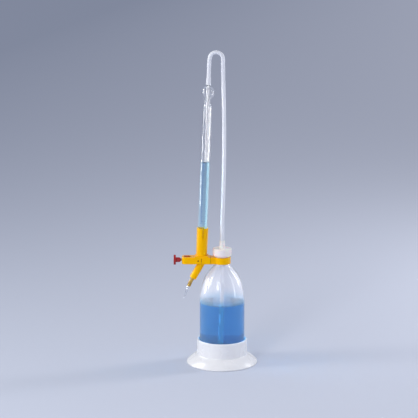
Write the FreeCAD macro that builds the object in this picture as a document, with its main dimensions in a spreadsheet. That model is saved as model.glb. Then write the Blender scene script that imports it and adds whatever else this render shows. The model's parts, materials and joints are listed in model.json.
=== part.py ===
"""Automatic burette: a squeeze bottle in a foot, with a glass burette on an arm and a pinch valve under it.

Millimetres. The origin is the centre of the foot's underside, +Z is up, +X is from the arm towards the bottle,
and the front of the object looks along -Y. The burette leans a little towards the bottle, and everything on its
axis is drawn upright in a frame of its own that starts at the pinch point.
"""

import FreeCAD, Part

import math
import os
import re

import Sketcher

# Driving dimensions: name, value in millimetres or degrees, and what it measures.
SIZES = [
    ("foot_radius", 72.5, "foot, outside radius"),
    ("foot_rim_height", 3.0, "foot, height of the upright rim"),
    ("foot_wall", 3.0, "foot, wall"),
    ("foot_dome_radius", 60.0, "foot, radius of the domed flange in section"),
    ("foot_rib_wall", 2.0, "foot, thickness of a rib under the flange"),
    ("foot_rib_count", 12, "foot, number of ribs"),
    ("foot_rim_round", 1.0, "foot, rounding of the rim"),
    ("foot_shoulder_round", 2.2, "foot, rounding between rim and flange"),
    ("collar_fillet", 2.5, "foot, rounding between flange and collar"),
    ("collar_lip_round", 1.4, "foot collar, outer rounding of the lip"),
    ("collar_bore_round", 0.8, "foot collar, inner rounding of the lip"),
    ("collar_radius", 51.5, "foot collar, outside radius"),
    ("collar_bore", 47.6, "foot collar, inside radius"),
    ("collar_base", 18.5, "foot collar, height of its root above the table"),
    ("collar_top", 50.5, "foot collar, height of its lip above the table"),
    ("bottle_radius", 46.0, "bottle, outside radius"),
    ("bottle_wall", 1.6, "bottle, wall"),
    ("bottle_corner", 5.0, "bottle, radius of the base corner"),
    ("shoulder_start", 124.0, "bottle, height where the shoulder starts"),
    ("shoulder_low_radius", 170.0, "bottle, radius of the lower shoulder in section"),
    ("shoulder_low_turn", 13.6, "bottle, angle that the lower shoulder turns through"),
    ("shoulder_high_radius", 75.0, "bottle, radius of the upper shoulder in section"),
    ("shoulder_high_turn", 45.5, "bottle, angle from upright at the upper shoulder's end"),
    ("neck_radius", 14.6, "bottle, outside radius of the neck"),
    ("neck_fillet", 6.8, "bottle, radius between shoulder and neck in section"),
    ("neck_fillet_width", 2.4, "bottle, width of the rounding between shoulder and neck"),
    ("neck_fillet_height", 4.6, "bottle, height of the rounding between shoulder and neck"),
    ("mouth_radius", 11.5, "bottle, inside radius of the mouth"),
    ("neck_start", 209.5, "bottle, height where the straight neck starts"),
    ("finish_radius", 13.3, "bottle, radius of the threaded finish"),
    ("finish_start", 222.4, "bottle, height where the threaded finish starts"),
    ("finish_top", 237.0, "bottle, height of the mouth"),
    ("reagent_level", 127.0, "reagent level in the bottle"),
    ("hose_radius", 4.0, "riser hose and dip tube, outside radius"),
    ("dip_tube_bore", 2.6, "dip tube, inside radius"),
    ("dip_tube_bottom", 9.0, "dip tube, height of its open end"),
    ("dip_tube_straight", 205.0, "dip tube, height down to which it is straight"),
    ("dip_tube_drift", 3.4, "dip tube, how far its open end has bent aside"),
    ("ring_radius", 17.3, "neck ring, outside radius"),
    ("ring_bore", 14.9, "neck ring, inside radius"),
    ("ring_bottom", 208.6, "neck ring, height of its underside"),
    ("ring_top", 222.2, "neck ring, height of its top"),
    ("ear_half_depth", 11.0, "neck ring, half depth of the ear"),
    ("seam", 24.0, "distance from the bottle's axis to the seam between ear and arm"),
    ("ring_edge", 0.9, "neck ring, radius of its edges"),
    ("tongue_length", 8.6, "neck ring, length of the tongue in the arm"),
    ("ring_pin_radius", 1.5, "dowel through the tongue, radius"),
    ("cap_radius", 19.1, "screw cap, outside radius"),
    ("cap_bottom", 222.7, "screw cap, height of its lower edge"),
    ("cap_top", 240.0, "screw cap, height of its top"),
    ("cap_bevel", 3.6, "screw cap, bevel at the lower edge"),
    ("cap_bore", 14.3, "screw cap, inside radius"),
    ("cap_flutes", 36, "screw cap, number of grip flutes"),
    ("cap_edge", 1.2, "screw cap, rounding of its top"),
    ("cap_flute_radius", 0.75, "screw cap, radius of a grip flute"),
    ("nozzle_fillet", 1.5, "cap nozzle, height of the rounding at its root"),
    ("nozzle_base", 6.5, "cap nozzle, radius at its root"),
    ("nozzle_tip", 4.9, "cap nozzle, radius at its end"),
    ("nozzle_top", 256.0, "cap nozzle, height of its end"),
    ("tube_clearance", 0.08, "running clearance round the tube, radial"),
    ("seal_radius", 13.9, "cap seal, radius"),
    ("seal_thickness", 1.5, "cap seal, thickness"),
    ("arm_axis", 215.8, "arm, height of its axis above the table"),
    ("arm_height", 14.2, "arm, height"),
    ("arm_half_depth", 13.0, "arm, half depth"),
    ("arm_end", 82.3, "arm, distance from the bottle's axis to its free end"),
    ("arm_end_radius", 7.0, "arm, radius of the upright corners at the free end"),
    ("arm_edge", 1.6, "arm, radius of its long edges"),
    ("arm_end_wall", 3.3, "arm, wall at the free end"),
    ("cavity_height", 10.0, "arm, height of the slide's channel"),
    ("cavity_half_depth", 8.8, "arm, half depth of the slide's channel"),
    ("plinth_left", 55.5, "plinth round the socket, distance of its left side from the bottle's axis"),
    ("plinth_right", 28.0, "plinth round the socket, distance of its right side from the bottle's axis"),
    ("plinth_height", 2.6, "plinth, height over the arm"),
    ("plinth_edge", 1.2, "plinth, radius of its top edges"),
    ("slot_left", 77.8, "key slot, distance of its left end from the bottle's axis"),
    ("slot_right", 62.9, "key slot, distance of its right end from the bottle's axis"),
    ("slot_width", 7.6, "key slot, width"),
    ("burette_axis", 42.5, "distance between the bottle's axis and the burette's at the arm's axis"),
    ("lean", 2.3, "lean of the burette towards the bottle, degrees"),
    ("socket_top_radius", 11.75, "socket, outside radius at the top"),
    ("socket_base_radius", 11.15, "socket, outside radius at the bottom"),
    ("socket_top", 66.5, "socket, top above the pinch point"),
    ("socket_bore", 9.6, "socket, inside radius"),
    ("socket_lip_round", 0.7, "socket, outer rounding of the lip"),
    ("hose_room", 0.6, "socket, free space round the hose in the hole under it"),
    ("socket_floor", 12.0, "socket, floor above the pinch point"),
    ("socket_slit", 1.2, "socket, width of the slit"),
    ("socket_slit_depth", 20.5, "socket, depth of the slit"),
    ("socket_slit_turn", 6.0, "socket, angle from the front to the slit"),
    ("load_slit", 1.0, "arm, width of the slit in its front wall"),
    ("glass_radius", 9.2, "burette, outside radius"),
    ("glass_wall", 1.2, "burette, wall"),
    ("stem_radius", 2.6, "burette, radius of its lower stem"),
    ("stem_bore", 1.5, "burette, bore of its lower stem"),
    ("stem_bottom", 7.0, "burette, lower end of the stem above the pinch point"),
    ("cone_bottom", 15.5, "burette, lower end of the cone above the pinch point"),
    ("cone_top", 23.0, "burette, upper end of the cone above the pinch point"),
    ("glass_shoulder", 314.0, "burette, start of the top shoulder above the pinch point"),
    ("throat_radius", 7.0, "burette, radius of the throat under the bulb"),
    ("throat_start", 321.5, "burette, lower end of the throat above the pinch point"),
    ("bulb_radius", 13.3, "burette, outside radius of the bulb"),
    ("bulb_centre", 343.5, "burette, centre of the bulb above the pinch point"),
    ("inlet_radius", 3.1, "burette, radius of the inlet"),
    ("inlet_bore", 1.9, "burette, bore of the inlet"),
    ("inlet_top", 372.0, "burette, end of the inlet above the pinch point"),
    ("shoulder_bend", 6.95, "burette, radius of the top shoulder's two bends in section"),
    ("bulb_flare", 3.0, "burette, radius between throat and bulb in section"),
    ("inlet_flare", 2.5, "burette, radius between bulb and inlet in section"),
    ("vent_radius", 1.3, "burette, radius of the vent in the throat"),
    ("vent_height", 326.0, "burette, vent above the pinch point"),
    ("fill_radius", 3.5, "fill tube, outside radius"),
    ("fill_taper_start", 287.5, "fill tube, where it starts to narrow, above the pinch point"),
    ("fill_taper_end", 272.0, "fill tube, where the capillary starts, above the pinch point"),
    ("capillary_radius", 1.9, "fill tube, outside radius of the capillary"),
    ("capillary_bore", 0.8, "fill tube, bore of the capillary"),
    ("zero_level", 201.3, "zero line above the pinch point"),
    ("seat_bore", 4.3, "seat ring, inside radius"),
    ("swell_radius", 4.7, "riser hose, radius where it is pushed over the inlet"),
    ("swell_round", 0.5, "riser hose, rounding of its lower end"),
    ("swell_taper", 2.0, "riser hose, how far the swelling tapers off past its upper end"),
    ("swell_bottom", 360.5, "riser hose, lower end above the pinch point"),
    ("swell_top", 374.5, "riser hose, upper end of the swelling above the pinch point"),
    ("pinch_hose_radius", 3.8, "pinch hose, outside radius"),
    ("pinch_hose_wall", 1.2, "pinch hose, wall"),
    ("pinch_half_height", 1.5, "pinch hose, half height of the flattened stretch"),
    ("pinch_spread", 4.6, "pinch hose, distance in which it becomes round again"),
    ("pinch_hose_top", 15.0, "pinch hose, upper end above the pinch point"),
    ("outlet_bend", 8.0, "outlet bend under the pinch point"),
    ("outlet_bend_radius", 7.0, "outlet bend, radius"),
    ("outlet_slant", 30.0, "outlet guide, angle from upright, degrees"),
    ("guide_radius", 7.2, "outlet guide, outside radius"),
    ("guide_bore", 4.5, "outlet guide, inside radius"),
    ("guide_lip_round", 1.0, "outlet guide, rounding of its end"),
    ("guide_length", 34.8, "outlet guide, length from the bend"),
    ("hose_past_guide", 6.0, "pinch hose, straight length past the guide"),
    ("droop", 8.0, "pinch hose, angle that it straightens past the guide, degrees"),
    ("droop_radius", 40.0, "pinch hose, radius of that bend"),
    ("hose_end_run", 7.0, "pinch hose, straight length at its end"),
    ("tip_radius", 2.6, "outlet tip, radius where it enters the hose"),
    ("tip_end_radius", 0.9, "outlet tip, radius at its end"),
    ("tip_inside", 8.0, "outlet tip, length inside the hose"),
    ("tip_wall", 0.9, "outlet tip, wall"),
    ("tip_end_bore", 0.5, "outlet tip, bore at its end"),
    ("tip_curve", 150.0, "outlet tip, radius in section of the drawn-out part"),
    ("tip_length", 27.0, "outlet tip, length outside the hose"),
    ("jaw_gap", 3.0, "pinch valve, gap between the jaws"),
    ("jaw_half_height", 3.0, "pinch valve, half height of the pad"),
    ("pad_half_depth", 6.2, "pinch valve, half depth of the pad"),
    ("pad_thickness", 2.2, "pinch valve, thickness of the pad"),
    ("nose_depth", 1.5, "pinch valve, depth of the pad's nose"),
    ("nose_half_height", 1.2, "pinch valve, half height of the jaws' noses"),
    ("bar_root", 2.6, "pinch slide, depth of the cross bar's nose"),
    ("slide_play", 0.4, "pinch slide, free space round the pins and the stem"),
    ("bar_thickness", 4.0, "pinch slide, thickness of the cross bar"),
    ("rail_inside", 6.6, "pinch slide, distance of a rail's inner side from the arm's axis"),
    ("rail_outside", 8.4, "pinch slide, distance of a rail's outer side from the arm's axis"),
    ("rail_half_height", 3.5, "pinch slide, half height of a rail"),
    ("tail_left", 78.4, "pinch slide, distance of its left end from the bottle's axis"),
    ("tail_right", 62.0, "pinch slide, distance of the tail's right end from the bottle's axis"),
    ("tail_half_height", 4.6, "pinch slide, half height of the tail"),
    ("key_left", 77.4, "key, distance of its left end from the bottle's axis"),
    ("key_right", 66.8, "key, distance of its right end from the bottle's axis"),
    ("key_width", 6.8, "key, width"),
    ("key_rise", 1.2, "key, height over the arm"),
    ("key_root", 0.2, "key, depth of its root in the tail"),
    ("key_travel", 3.5, "key, travel"),
    ("grip_half_width", 0.5, "key, half width of a grip groove"),
    ("grip_depth", 0.6, "key, depth of a grip groove"),
    ("block_left", 55.0, "guide block, distance of its left side from the bottle's axis"),
    ("block_right", 47.7, "guide block, distance of its right side from the bottle's axis"),
    ("guide_pin_radius", 1.0, "guide pins, radius"),
    ("guide_pin_place", 48.9, "guide pins, distance from the bottle's axis"),
    ("guide_pin_inner", 3.4, "guide pins, distance of their inner ends from the arm's axis"),
    ("guide_pin_sink", 0.1, "guide pins, how far their heads lie under the arm's side"),
    ("screw_radius", 2.5, "micro screw, outside radius of the stem"),
    ("screw_journal", 1.5, "micro screw, radius of the journal in the pad"),
    ("screw_clearance", 0.07, "micro screw, running clearance, radial"),
    ("journal_length", 0.9, "micro screw, length of the journal in the pad"),
    ("journal_gap", 0.3, "micro screw, gap between its shoulder and the pad"),
    ("insert_radius", 4.4, "thread insert, outside radius"),
    ("spring_radius", 3.7, "return spring, mean radius"),
    ("spring_wire", 0.4, "return spring, radius of the wire"),
    ("spring_turns", 7, "return spring, number of turns"),
    ("spring_gap", 0.2, "return spring, gap at each of its ends"),
    ("spring_seat", 68.0, "return spring, distance of its seat in the tail from the bottle's axis"),
    ("knob_face", 99.0, "knob, distance of its face from the bottle's axis"),
    ("knob_radius", 10.15, "knob, radius of the disc"),
    ("knob_disc", 4.5, "knob, thickness of the disc"),
    ("knob_hub", 5.0, "knob, radius of the hub"),
    ("knob_neck", 3.1, "knob, radius of the hub's end"),
    ("knob_nose", 4.6, "knob, length of the hub's rounded end"),
    ("knob_fillet", 0.8, "knob, rounding between hub and disc"),
    ("knob_root", 84.6, "knob, distance of the hub's end from the bottle's axis"),
    ("knob_flutes", 20, "knob, number of flutes round the disc"),
    ("knob_flute_radius", 1.1, "knob, radius of a flute"),
    ("knob_skin", 2.0, "knob, thickness over the stem's end"),
    ("knob_edge", 1.0, "knob, rounding of the disc"),
]

# The riser hose's route from the cap's nozzle, over the bend and down to the inlet: x and z of each point.
# The last point is worked out from the burette's axis.
RISER_ROUTE = [
    (0.0, 256.0),
    (0.0, 291.0),
    (2.0, 346.0),
    (3.6, 420.0),
    (3.7, 492.0),
    (2.1, 566.0),
    (1.0, 609.5),
    (1.3, 631.0),
    (-6.7, 639.0),
    (-17.9, 639.0),
    (-25.9, 631.0),
    (-26.85, 610.3),
]

MIDDLE = FreeCAD.Vector(0, 0, 0)
ALONG_X = FreeCAD.Vector(1, 0, 0)
ALONG_Y = FreeCAD.Vector(0, 1, 0)
ALONG_Z = FreeCAD.Vector(0, 0, 1)

document = FreeCAD.newDocument("automatic_burette")
sheet = document.addObject("Spreadsheet::Sheet", "Sheet")
for row, (name, value, meaning) in enumerate(SIZES, start=1):
    sheet.set(f"A{row}", meaning)
    sheet.set(f"B{row}", str(value))
    sheet.setAlias(f"B{row}", name)
document.recompute()
NAMES = {name for name, value, meaning in SIZES}
nodes = []


def bound(expression):
    """The expression with the sheet's name before each of its sizes."""
    return re.sub(r"[a-z_]\w*", lambda word: "Sheet." * (word.group() in NAMES) + word.group(), expression)


def size(expression):
    """The value of an expression in the sheet's sizes."""
    return float(sheet.evalExpression(bound(expression)))


def bind(thing, place, expression):
    """Ties a property to the sheet."""
    thing.setExpression(place, bound(expression))


def new_body(name):
    """An empty sub-part."""
    body = document.addObject("PartDesign::Body", name)
    body.Label = name
    nodes.append(body)
    return body


def plane_sketch(body, name, role, across="0", up="0", out="0", lean="0"):
    """A sketch on one of the body's own planes, moved in the plane and along its normal, and leant clockwise."""
    sketch = body.newObject("Sketcher::SketchObject", name)
    plane = [feature for feature in body.Origin.OriginFeatures if feature.Role == role][0]
    sketch.AttachmentSupport = [(plane, "")]
    sketch.MapMode = "FlatFace"
    clockwise = FreeCAD.Vector(0, 0, -1)
    sketch.AttachmentOffset = FreeCAD.Placement(MIDDLE, FreeCAD.Rotation(clockwise, size(lean)))
    for place, expression in (("x", across), ("y", up), ("z", out)):
        if expression != "0":
            bind(sketch, f"AttachmentOffset.Base.{place}", expression)
    if lean != "0":
        bind(sketch, "AttachmentOffset.Rotation.Angle", lean)
    return sketch


def pin_point(sketch, edge, end, across, up):
    """Fixes a point of the sketch at a place given by two expressions."""
    for kind, axis, expression in (("DistanceX", -2, across), ("DistanceY", -1, up)):
        value = size(expression)
        if abs(value) < 1e-9:
            sketch.addConstraint(Sketcher.Constraint("PointOnObject", edge, end, axis))
        else:
            index = sketch.addConstraint(Sketcher.Constraint(kind, -1, 1, edge, end, value))
            bind(sketch, f"Constraints[{index}]", expression)


def arc_between(start, end, radius, turn):
    """An arc from start to end that turns left (turn 1) or right (turn -1), less than half a circle."""
    chord = end - start
    half = chord.Length / 2
    side = FreeCAD.Vector(-chord.y, chord.x, 0).normalize() * turn
    centre = (start + end) * 0.5 + side * math.sqrt(radius**2 - half**2)
    circle = Part.Circle(centre, ALONG_Z, radius)
    first, last = (start, end) if turn > 0 else (end, start)
    return Part.ArcOfCircle(circle, circle.parameter(first), circle.parameter(last))


def outline(sketch, corners):
    """Draws a closed outline. Each corner is (across, up), and (across, up, radius, turn) ends an arc."""
    points = [FreeCAD.Vector(size(corner[0]), size(corner[1]), 0) for corner in corners]
    first = sketch.GeometryCount
    ends = []
    for i, corner in enumerate(corners):
        if len(corner) == 2:
            sketch.addGeometry(Part.LineSegment(points[i - 1], points[i]))
            ends.append((1, 2))
        else:
            turn = corner[3]
            sketch.addGeometry(arc_between(points[i - 1], points[i], size(corner[2]), turn))
            ends.append((1, 2) if turn > 0 else (2, 1))
    for i, corner in enumerate(corners):
        after = (i + 1) % len(corners)
        joined = Sketcher.Constraint("Coincident", first + i, ends[i][1], first + after, ends[after][0])
        sketch.addConstraint(joined)
        pin_point(sketch, first + i, ends[i][1], corner[0], corner[1])
        if len(corner) == 4:
            radius = Sketcher.Constraint("Radius", first + i, size(corner[2]))
            bind(sketch, f"Constraints[{sketch.addConstraint(radius)}]", corner[2])


def circle(sketch, across, up, radius):
    """Draws a circle."""
    centre = FreeCAD.Vector(size(across), size(up), 0)
    edge = sketch.addGeometry(Part.Circle(centre, ALONG_Z, size(radius)))
    pin_point(sketch, edge, 3, across, up)
    index = sketch.addConstraint(Sketcher.Constraint("Radius", edge, size(radius)))
    bind(sketch, f"Constraints[{index}]", radius)


def box_corners(left, right, low, high):
    """The corners of a rectangle."""
    return [(left, low), (right, low), (right, high), (left, high)]


def solid_volume(body):
    """The volume of the body so far."""
    document.recompute()
    return body.Shape.Volume if body.Tip and not body.Shape.isNull() else 0.0


def add_feature(body, kind, name, sketch, changes):
    """Adds a feature on a sketch, and checks that it adds or takes away material."""
    before = solid_volume(body)
    feature = body.newObject("PartDesign::" + kind, name)
    feature.Profile = sketch
    for place, value in changes.items():
        setattr(feature, place, value)
    return feature, before


def check_change(body, feature, before, grows):
    """Stops if a feature left the body's volume as it was, or changed it the wrong way."""
    change = solid_volume(body) - before
    if (change if grows else -change) < 1e-3:
        raise ValueError(f"{feature.Name} changes nothing")
    return feature


def pad(body, name, sketch, length, both=False, flip=False):
    """Pads a sketch along its normal, or to both sides of its plane."""
    changes = {"SideType": "Symmetric" if both else "One side", "Reversed": flip}
    feature, before = add_feature(body, "Pad", name, sketch, changes)
    bind(feature, "Length", length)
    return check_change(body, feature, before, True)


def pocket(body, name, sketch, length, both=False, flip=False):
    """Cuts a sketch against its normal, or to both sides of its plane."""
    changes = {"SideType": "Symmetric" if both else "One side", "Reversed": flip}
    feature, before = add_feature(body, "Pocket", name, sketch, changes)
    bind(feature, "Length", length)
    return check_change(body, feature, before, False)


def revolve(body, name, sketch):
    """Revolves a sketch round its own upright axis."""
    changes = {"ReferenceAxis": (sketch, ["V_Axis"]), "Angle": 360}
    feature, before = add_feature(body, "Revolution", name, sketch, changes)
    return check_change(body, feature, before, True)


def groove(body, name, sketch):
    """Cuts a sketch round its own upright axis."""
    changes = {"ReferenceAxis": (sketch, ["V_Axis"]), "Angle": 360}
    feature, before = add_feature(body, "Groove", name, sketch, changes)
    return check_change(body, feature, before, False)


def repeat_round(body, feature, sketch, axis, count):
    """Repeats a feature all round an axis of its sketch."""
    before = solid_volume(body)
    pattern = body.newObject("PartDesign::PolarPattern", feature.Name + "_all_round")
    pattern.Originals = [feature]
    pattern.Axis = (sketch, [axis])
    pattern.Angle = 360
    bind(pattern, "Occurrences", count)
    body.Tip = pattern
    if abs(solid_volume(body) - before) < 1e-3:
        raise ValueError(f"{feature.Name} is not repeated")
    return pattern


def turned(name, corners, axis="burette"):
    """A sub-part that is one revolved outline, on the bottle's axis or on the burette's."""
    body = new_body(name)
    sketch = plane_sketch(body, name + "_outline", "XZ_Plane")
    outline(sketch, corners)
    revolve(body, name + "_turned", sketch)
    if axis == "burette":
        lean_over(body)
    return body


def lean_over(body):
    """Puts a sub-part that is drawn upright from the pinch point onto the burette's axis."""
    body.Placement = FreeCAD.Placement(MIDDLE, FreeCAD.Rotation(ALONG_Y, size("lean")))
    bind(body, "Placement.Base.x", "-burette_axis")
    bind(body, "Placement.Base.z", "arm_axis")
    bind(body, "Placement.Rotation.Angle", "lean")


def path(sketch, corners):
    """Draws an open path of straight and round sides, with corners as in outline."""
    points = [FreeCAD.Vector(size(corner[0]), size(corner[1]), 0) for corner in corners]
    ends = []
    for i, corner in enumerate(corners[1:]):
        if len(corner) == 2:
            sketch.addGeometry(Part.LineSegment(points[i], points[i + 1]))
            ends.append((1, 2))
        else:
            turn = corner[3]
            sketch.addGeometry(arc_between(points[i], points[i + 1], size(corner[2]), turn))
            ends.append((1, 2) if turn > 0 else (2, 1))
    pin_point(sketch, 0, ends[0][0], corners[0][0], corners[0][1])
    for i, corner in enumerate(corners[1:]):
        if i:
            sketch.addConstraint(Sketcher.Constraint("Coincident", i - 1, ends[i - 1][1], i, ends[i][0]))
        pin_point(sketch, i, ends[i][1], corner[0], corner[1])
        if len(corner) == 4:
            radius = Sketcher.Constraint("Radius", i, size(corner[2]))
            bind(sketch, f"Constraints[{sketch.addConstraint(radius)}]", corner[2])


def round_edges(body, name, radius, wanted):
    """Rounds the edges of the body that a test picks."""
    document.recompute()
    before = body.Tip
    edges = [f"Edge{i}" for i, edge in enumerate(before.Shape.Edges, start=1) if wanted(edge)]
    if not edges:
        raise ValueError(f"{name} finds no edge")
    fillet = body.newObject("PartDesign::Fillet", name)
    fillet.Base = (before, edges)
    bind(fillet, "Radius", radius)
    solid_volume(body)
    return fillet


def level(edge, height):
    """True for an edge that lies at one height."""
    box = edge.BoundBox
    return abs(box.ZMin - height) < 1e-4 and abs(box.ZMax - height) < 1e-4


def lie_along_screw(body):
    """Puts a sub-part onto the screw's axis: its heights become distances from the bottle's axis."""
    body.Placement = FreeCAD.Placement(MIDDLE, FreeCAD.Rotation(ALONG_Y, -90))
    bind(body, "Placement.Base.z", "arm_axis")


# Places that several pieces share.
ARM_BOTTOM = "arm_axis - arm_height / 2"
ARM_TOP = "arm_axis + arm_height / 2"
CHANNEL_LOW = "arm_axis - cavity_height / 2"
CHANNEL_HIGH = "arm_axis + cavity_height / 2"
BEND_X = "-burette_axis - outlet_bend * sin(lean)"
BEND_Z = "arm_axis - outlet_bend * cos(lean)"
PAD_FACE = "burette_axis + jaw_gap / 2"
PAD_BACK = "burette_axis + jaw_gap / 2 + pad_thickness"
BAR_FACE = "burette_axis - jaw_gap / 2"
GLASS_INSIDE = "glass_radius - glass_wall"
GLASS_CONE_LOW = "cone_bottom + 0.9"
GLASS_CONE_HIGH = "cone_top + 0.4"
BULB_INSIDE_TOP = "bulb_centre + sqrt((bulb_radius - glass_wall)^2 - fill_radius^2)"


def make_foot():
    """White moulded foot: a collar for the bottle on a domed flange, hollow and ribbed underneath."""
    body = turned("foot", [
        ("0", "0"),
        ("collar_radius", "0"),
        ("collar_radius", "collar_base - 1.15 * foot_wall"),
        ("foot_radius - foot_wall", "foot_rim_height - 0.6", "foot_dome_radius - foot_wall", -1),
        ("foot_radius - foot_wall", "0"),
        ("foot_radius - foot_rim_round", "0"),
        ("foot_radius", "foot_rim_round", "foot_rim_round", 1),
        ("foot_radius", "foot_rim_height - foot_rim_round"),
        ("foot_radius - 1.5 * foot_rim_round", "foot_rim_height + foot_rim_round", "foot_shoulder_round", 1),
        ("collar_radius + 0.8 * collar_fillet", "collar_base - 0.4 * collar_fillet", "foot_dome_radius", 1),
        ("collar_radius", "collar_base + 0.6 * collar_fillet", "collar_fillet", -1),
        ("collar_radius", "collar_top - collar_lip_round"),
        ("collar_radius - collar_lip_round", "collar_top", "collar_lip_round", 1),
        ("collar_bore + collar_bore_round", "collar_top"),
        ("collar_bore", "collar_top - collar_bore_round", "collar_bore_round", 1),
        ("collar_bore", "foot_wall"),
        ("0", "foot_wall"),
    ], axis="bottle")
    sketch = plane_sketch(body, "foot_rib_outline", "XZ_Plane")
    outline(sketch, [
        ("collar_radius - 0.5", "0.8"),
        ("foot_radius - foot_wall + 0.5", "0.8"),
        ("foot_radius - foot_wall + 0.5", "foot_rim_height + 1.2"),
        ("collar_radius - 0.5", "collar_base - 1.9"),
    ])
    rib = pad(body, "foot_rib", sketch, "foot_rib_wall", both=True)
    repeat_round(body, rib, sketch, "V_Axis", "foot_rib_count")


# The shoulder of the bottle: where its two arcs end, and the same places on the inner side of the wall.
LOW_X = "bottle_radius - shoulder_low_radius * (1 - cos(shoulder_low_turn))"
LOW_Z = "shoulder_start + shoulder_low_radius * sin(shoulder_low_turn)"
HIGH_X = f"{LOW_X} - shoulder_high_radius * (cos(shoulder_low_turn) - cos(shoulder_high_turn))"
HIGH_Z = f"{LOW_Z} + shoulder_high_radius * (sin(shoulder_high_turn) - sin(shoulder_low_turn))"


def make_bottle():
    """Soft bottle with a long round shoulder and an open mouth."""
    low_in = (f"{LOW_X} - bottle_wall * cos(shoulder_low_turn)", f"{LOW_Z} - bottle_wall * sin(shoulder_low_turn)")
    high_in = (f"{HIGH_X} - bottle_wall * cos(shoulder_high_turn)", f"{HIGH_Z} - bottle_wall * sin(shoulder_high_turn)")
    fillet_x = "neck_radius + neck_fillet_width"
    fillet_z = "neck_start - neck_fillet_height"
    turned("bottle", [
        ("0", "foot_wall"),
        ("bottle_radius - bottle_corner", "foot_wall"),
        ("bottle_radius", "foot_wall + bottle_corner", "bottle_corner", 1),
        ("bottle_radius", "shoulder_start"),
        (LOW_X, LOW_Z, "shoulder_low_radius", 1),
        (HIGH_X, HIGH_Z, "shoulder_high_radius", 1),
        (fillet_x, fillet_z),
        ("neck_radius", "neck_start", "neck_fillet", -1),
        ("neck_radius", "finish_start"),
        ("finish_radius", "finish_start"),
        ("finish_radius", "finish_top"),
        ("mouth_radius", "finish_top"),
        ("mouth_radius", "finish_start - 1"),
        ("neck_radius - bottle_wall", "finish_start - 2.5"),
        ("neck_radius - bottle_wall", "neck_start"),
        (
            f"{fillet_x} - bottle_wall * cos(shoulder_high_turn)",
            f"{fillet_z} - bottle_wall * sin(shoulder_high_turn)",
            "neck_fillet + bottle_wall",
            1,
        ),
        high_in,
        (*low_in, "shoulder_high_radius - bottle_wall", -1),
        ("bottle_radius - bottle_wall", "shoulder_start", "shoulder_low_radius - bottle_wall", -1),
        ("bottle_radius - bottle_wall", "foot_wall + bottle_corner"),
        ("bottle_radius - bottle_corner", "foot_wall + bottle_wall", "bottle_corner - bottle_wall", -1),
        ("0", "foot_wall + bottle_wall"),
    ], axis="bottle")


def dip_tube_path(body, name):
    """The dip tube's centre line: straight down from the nozzle, then a slow bend to the open end."""
    sketch = plane_sketch(body, name, "XZ_Plane")
    bend = "((dip_tube_straight - dip_tube_bottom)^2 + dip_tube_drift^2) / (2 * dip_tube_drift)"
    path(sketch, [
        ("0", "nozzle_top"),
        ("0", "dip_tube_straight"),
        ("-dip_tube_drift", "dip_tube_bottom", bend, -1),
    ])
    return sketch


def pipe(body, kind, name, section, spine):
    """Sweeps a section along a path."""
    before = solid_volume(body)
    feature = body.newObject("PartDesign::" + kind, name)
    feature.Profile = section
    feature.Spine = (spine, [f"Edge{i + 1}" for i in range(spine.GeometryCount)])
    return check_change(body, feature, before, kind == "AdditivePipe")


def make_dip_tube():
    """Tube from the end of the cap's nozzle to the bottle's floor."""
    body = new_body("dip_tube")
    spine = dip_tube_path(body, "dip_tube_line")
    section = plane_sketch(body, "dip_tube_section", "XY_Plane", out="nozzle_top")
    circle(section, "0", "0", "hose_radius")
    circle(section, "0", "0", "dip_tube_bore")
    pipe(body, "AdditivePipe", "dip_tube_swept", section, spine)


def make_bottle_reagent():
    """The reagent in the bottle, with room for the dip tube."""
    level_x = (
        "bottle_radius - shoulder_low_radius"
        " + sqrt((shoulder_low_radius - bottle_wall)^2 - (reagent_level - shoulder_start)^2)"
    )
    body = turned("reagent_in_bottle", [
        ("0", "foot_wall + bottle_wall"),
        ("bottle_radius - bottle_corner", "foot_wall + bottle_wall"),
        ("bottle_radius - bottle_wall", "foot_wall + bottle_corner", "bottle_corner - bottle_wall", 1),
        ("bottle_radius - bottle_wall", "shoulder_start"),
        (level_x, "reagent_level", "shoulder_low_radius - bottle_wall", 1),
        ("0", "reagent_level"),
    ], axis="bottle")
    spine = dip_tube_path(body, "dip_tube_room_line")
    section = plane_sketch(body, "dip_tube_room_section", "XY_Plane", out="nozzle_top")
    circle(section, "0", "0", "hose_radius")
    pipe(body, "SubtractivePipe", "dip_tube_room", section, spine)


def make_neck_ring():
    """Yellow ring round the neck, with an ear and the tongue that goes into the arm."""
    body = new_body("neck_ring")
    height = "ring_top - ring_bottom"
    sketch = plane_sketch(body, "ring_outline", "XY_Plane", out="ring_bottom")
    circle(sketch, "0", "0", "ring_radius")
    pad(body, "ring_disc", sketch, height)
    sketch = plane_sketch(body, "ear_outline", "XY_Plane", out="ring_bottom")
    outline(sketch, box_corners("-seam", "-ring_bore + 2", "-ear_half_depth", "ear_half_depth"))
    pad(body, "ear", sketch, height)
    heights = (size("ring_bottom"), size("ring_top"))
    seam = -size("seam")
    round_edges(body, "ring_edges", "ring_edge", lambda edge: (
        any(level(edge, height) for height in heights) and edge.BoundBox.XMax > seam + 0.01
    ))
    sketch = plane_sketch(body, "ring_bore_outline", "XY_Plane", out="ring_bottom - 1")
    circle(sketch, "0", "0", "ring_bore")
    pocket(body, "ring_bored", sketch, "ring_top - ring_bottom + 2", flip=True)
    sketch = plane_sketch(body, "tongue_outline", "YZ_Plane", out="-seam")
    outline(sketch, box_corners("-cavity_half_depth", "cavity_half_depth", CHANNEL_LOW, CHANNEL_HIGH))
    pad(body, "tongue", sketch, "tongue_length", flip=True)
    sketch = plane_sketch(body, "ring_pin_room_outline", "XY_Plane", out="ring_bottom")
    circle(sketch, "-seam - tongue_length / 2", "0", "ring_pin_radius")
    pocket(body, "ring_pin_room", sketch, "cavity_height", flip=True)


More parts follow.
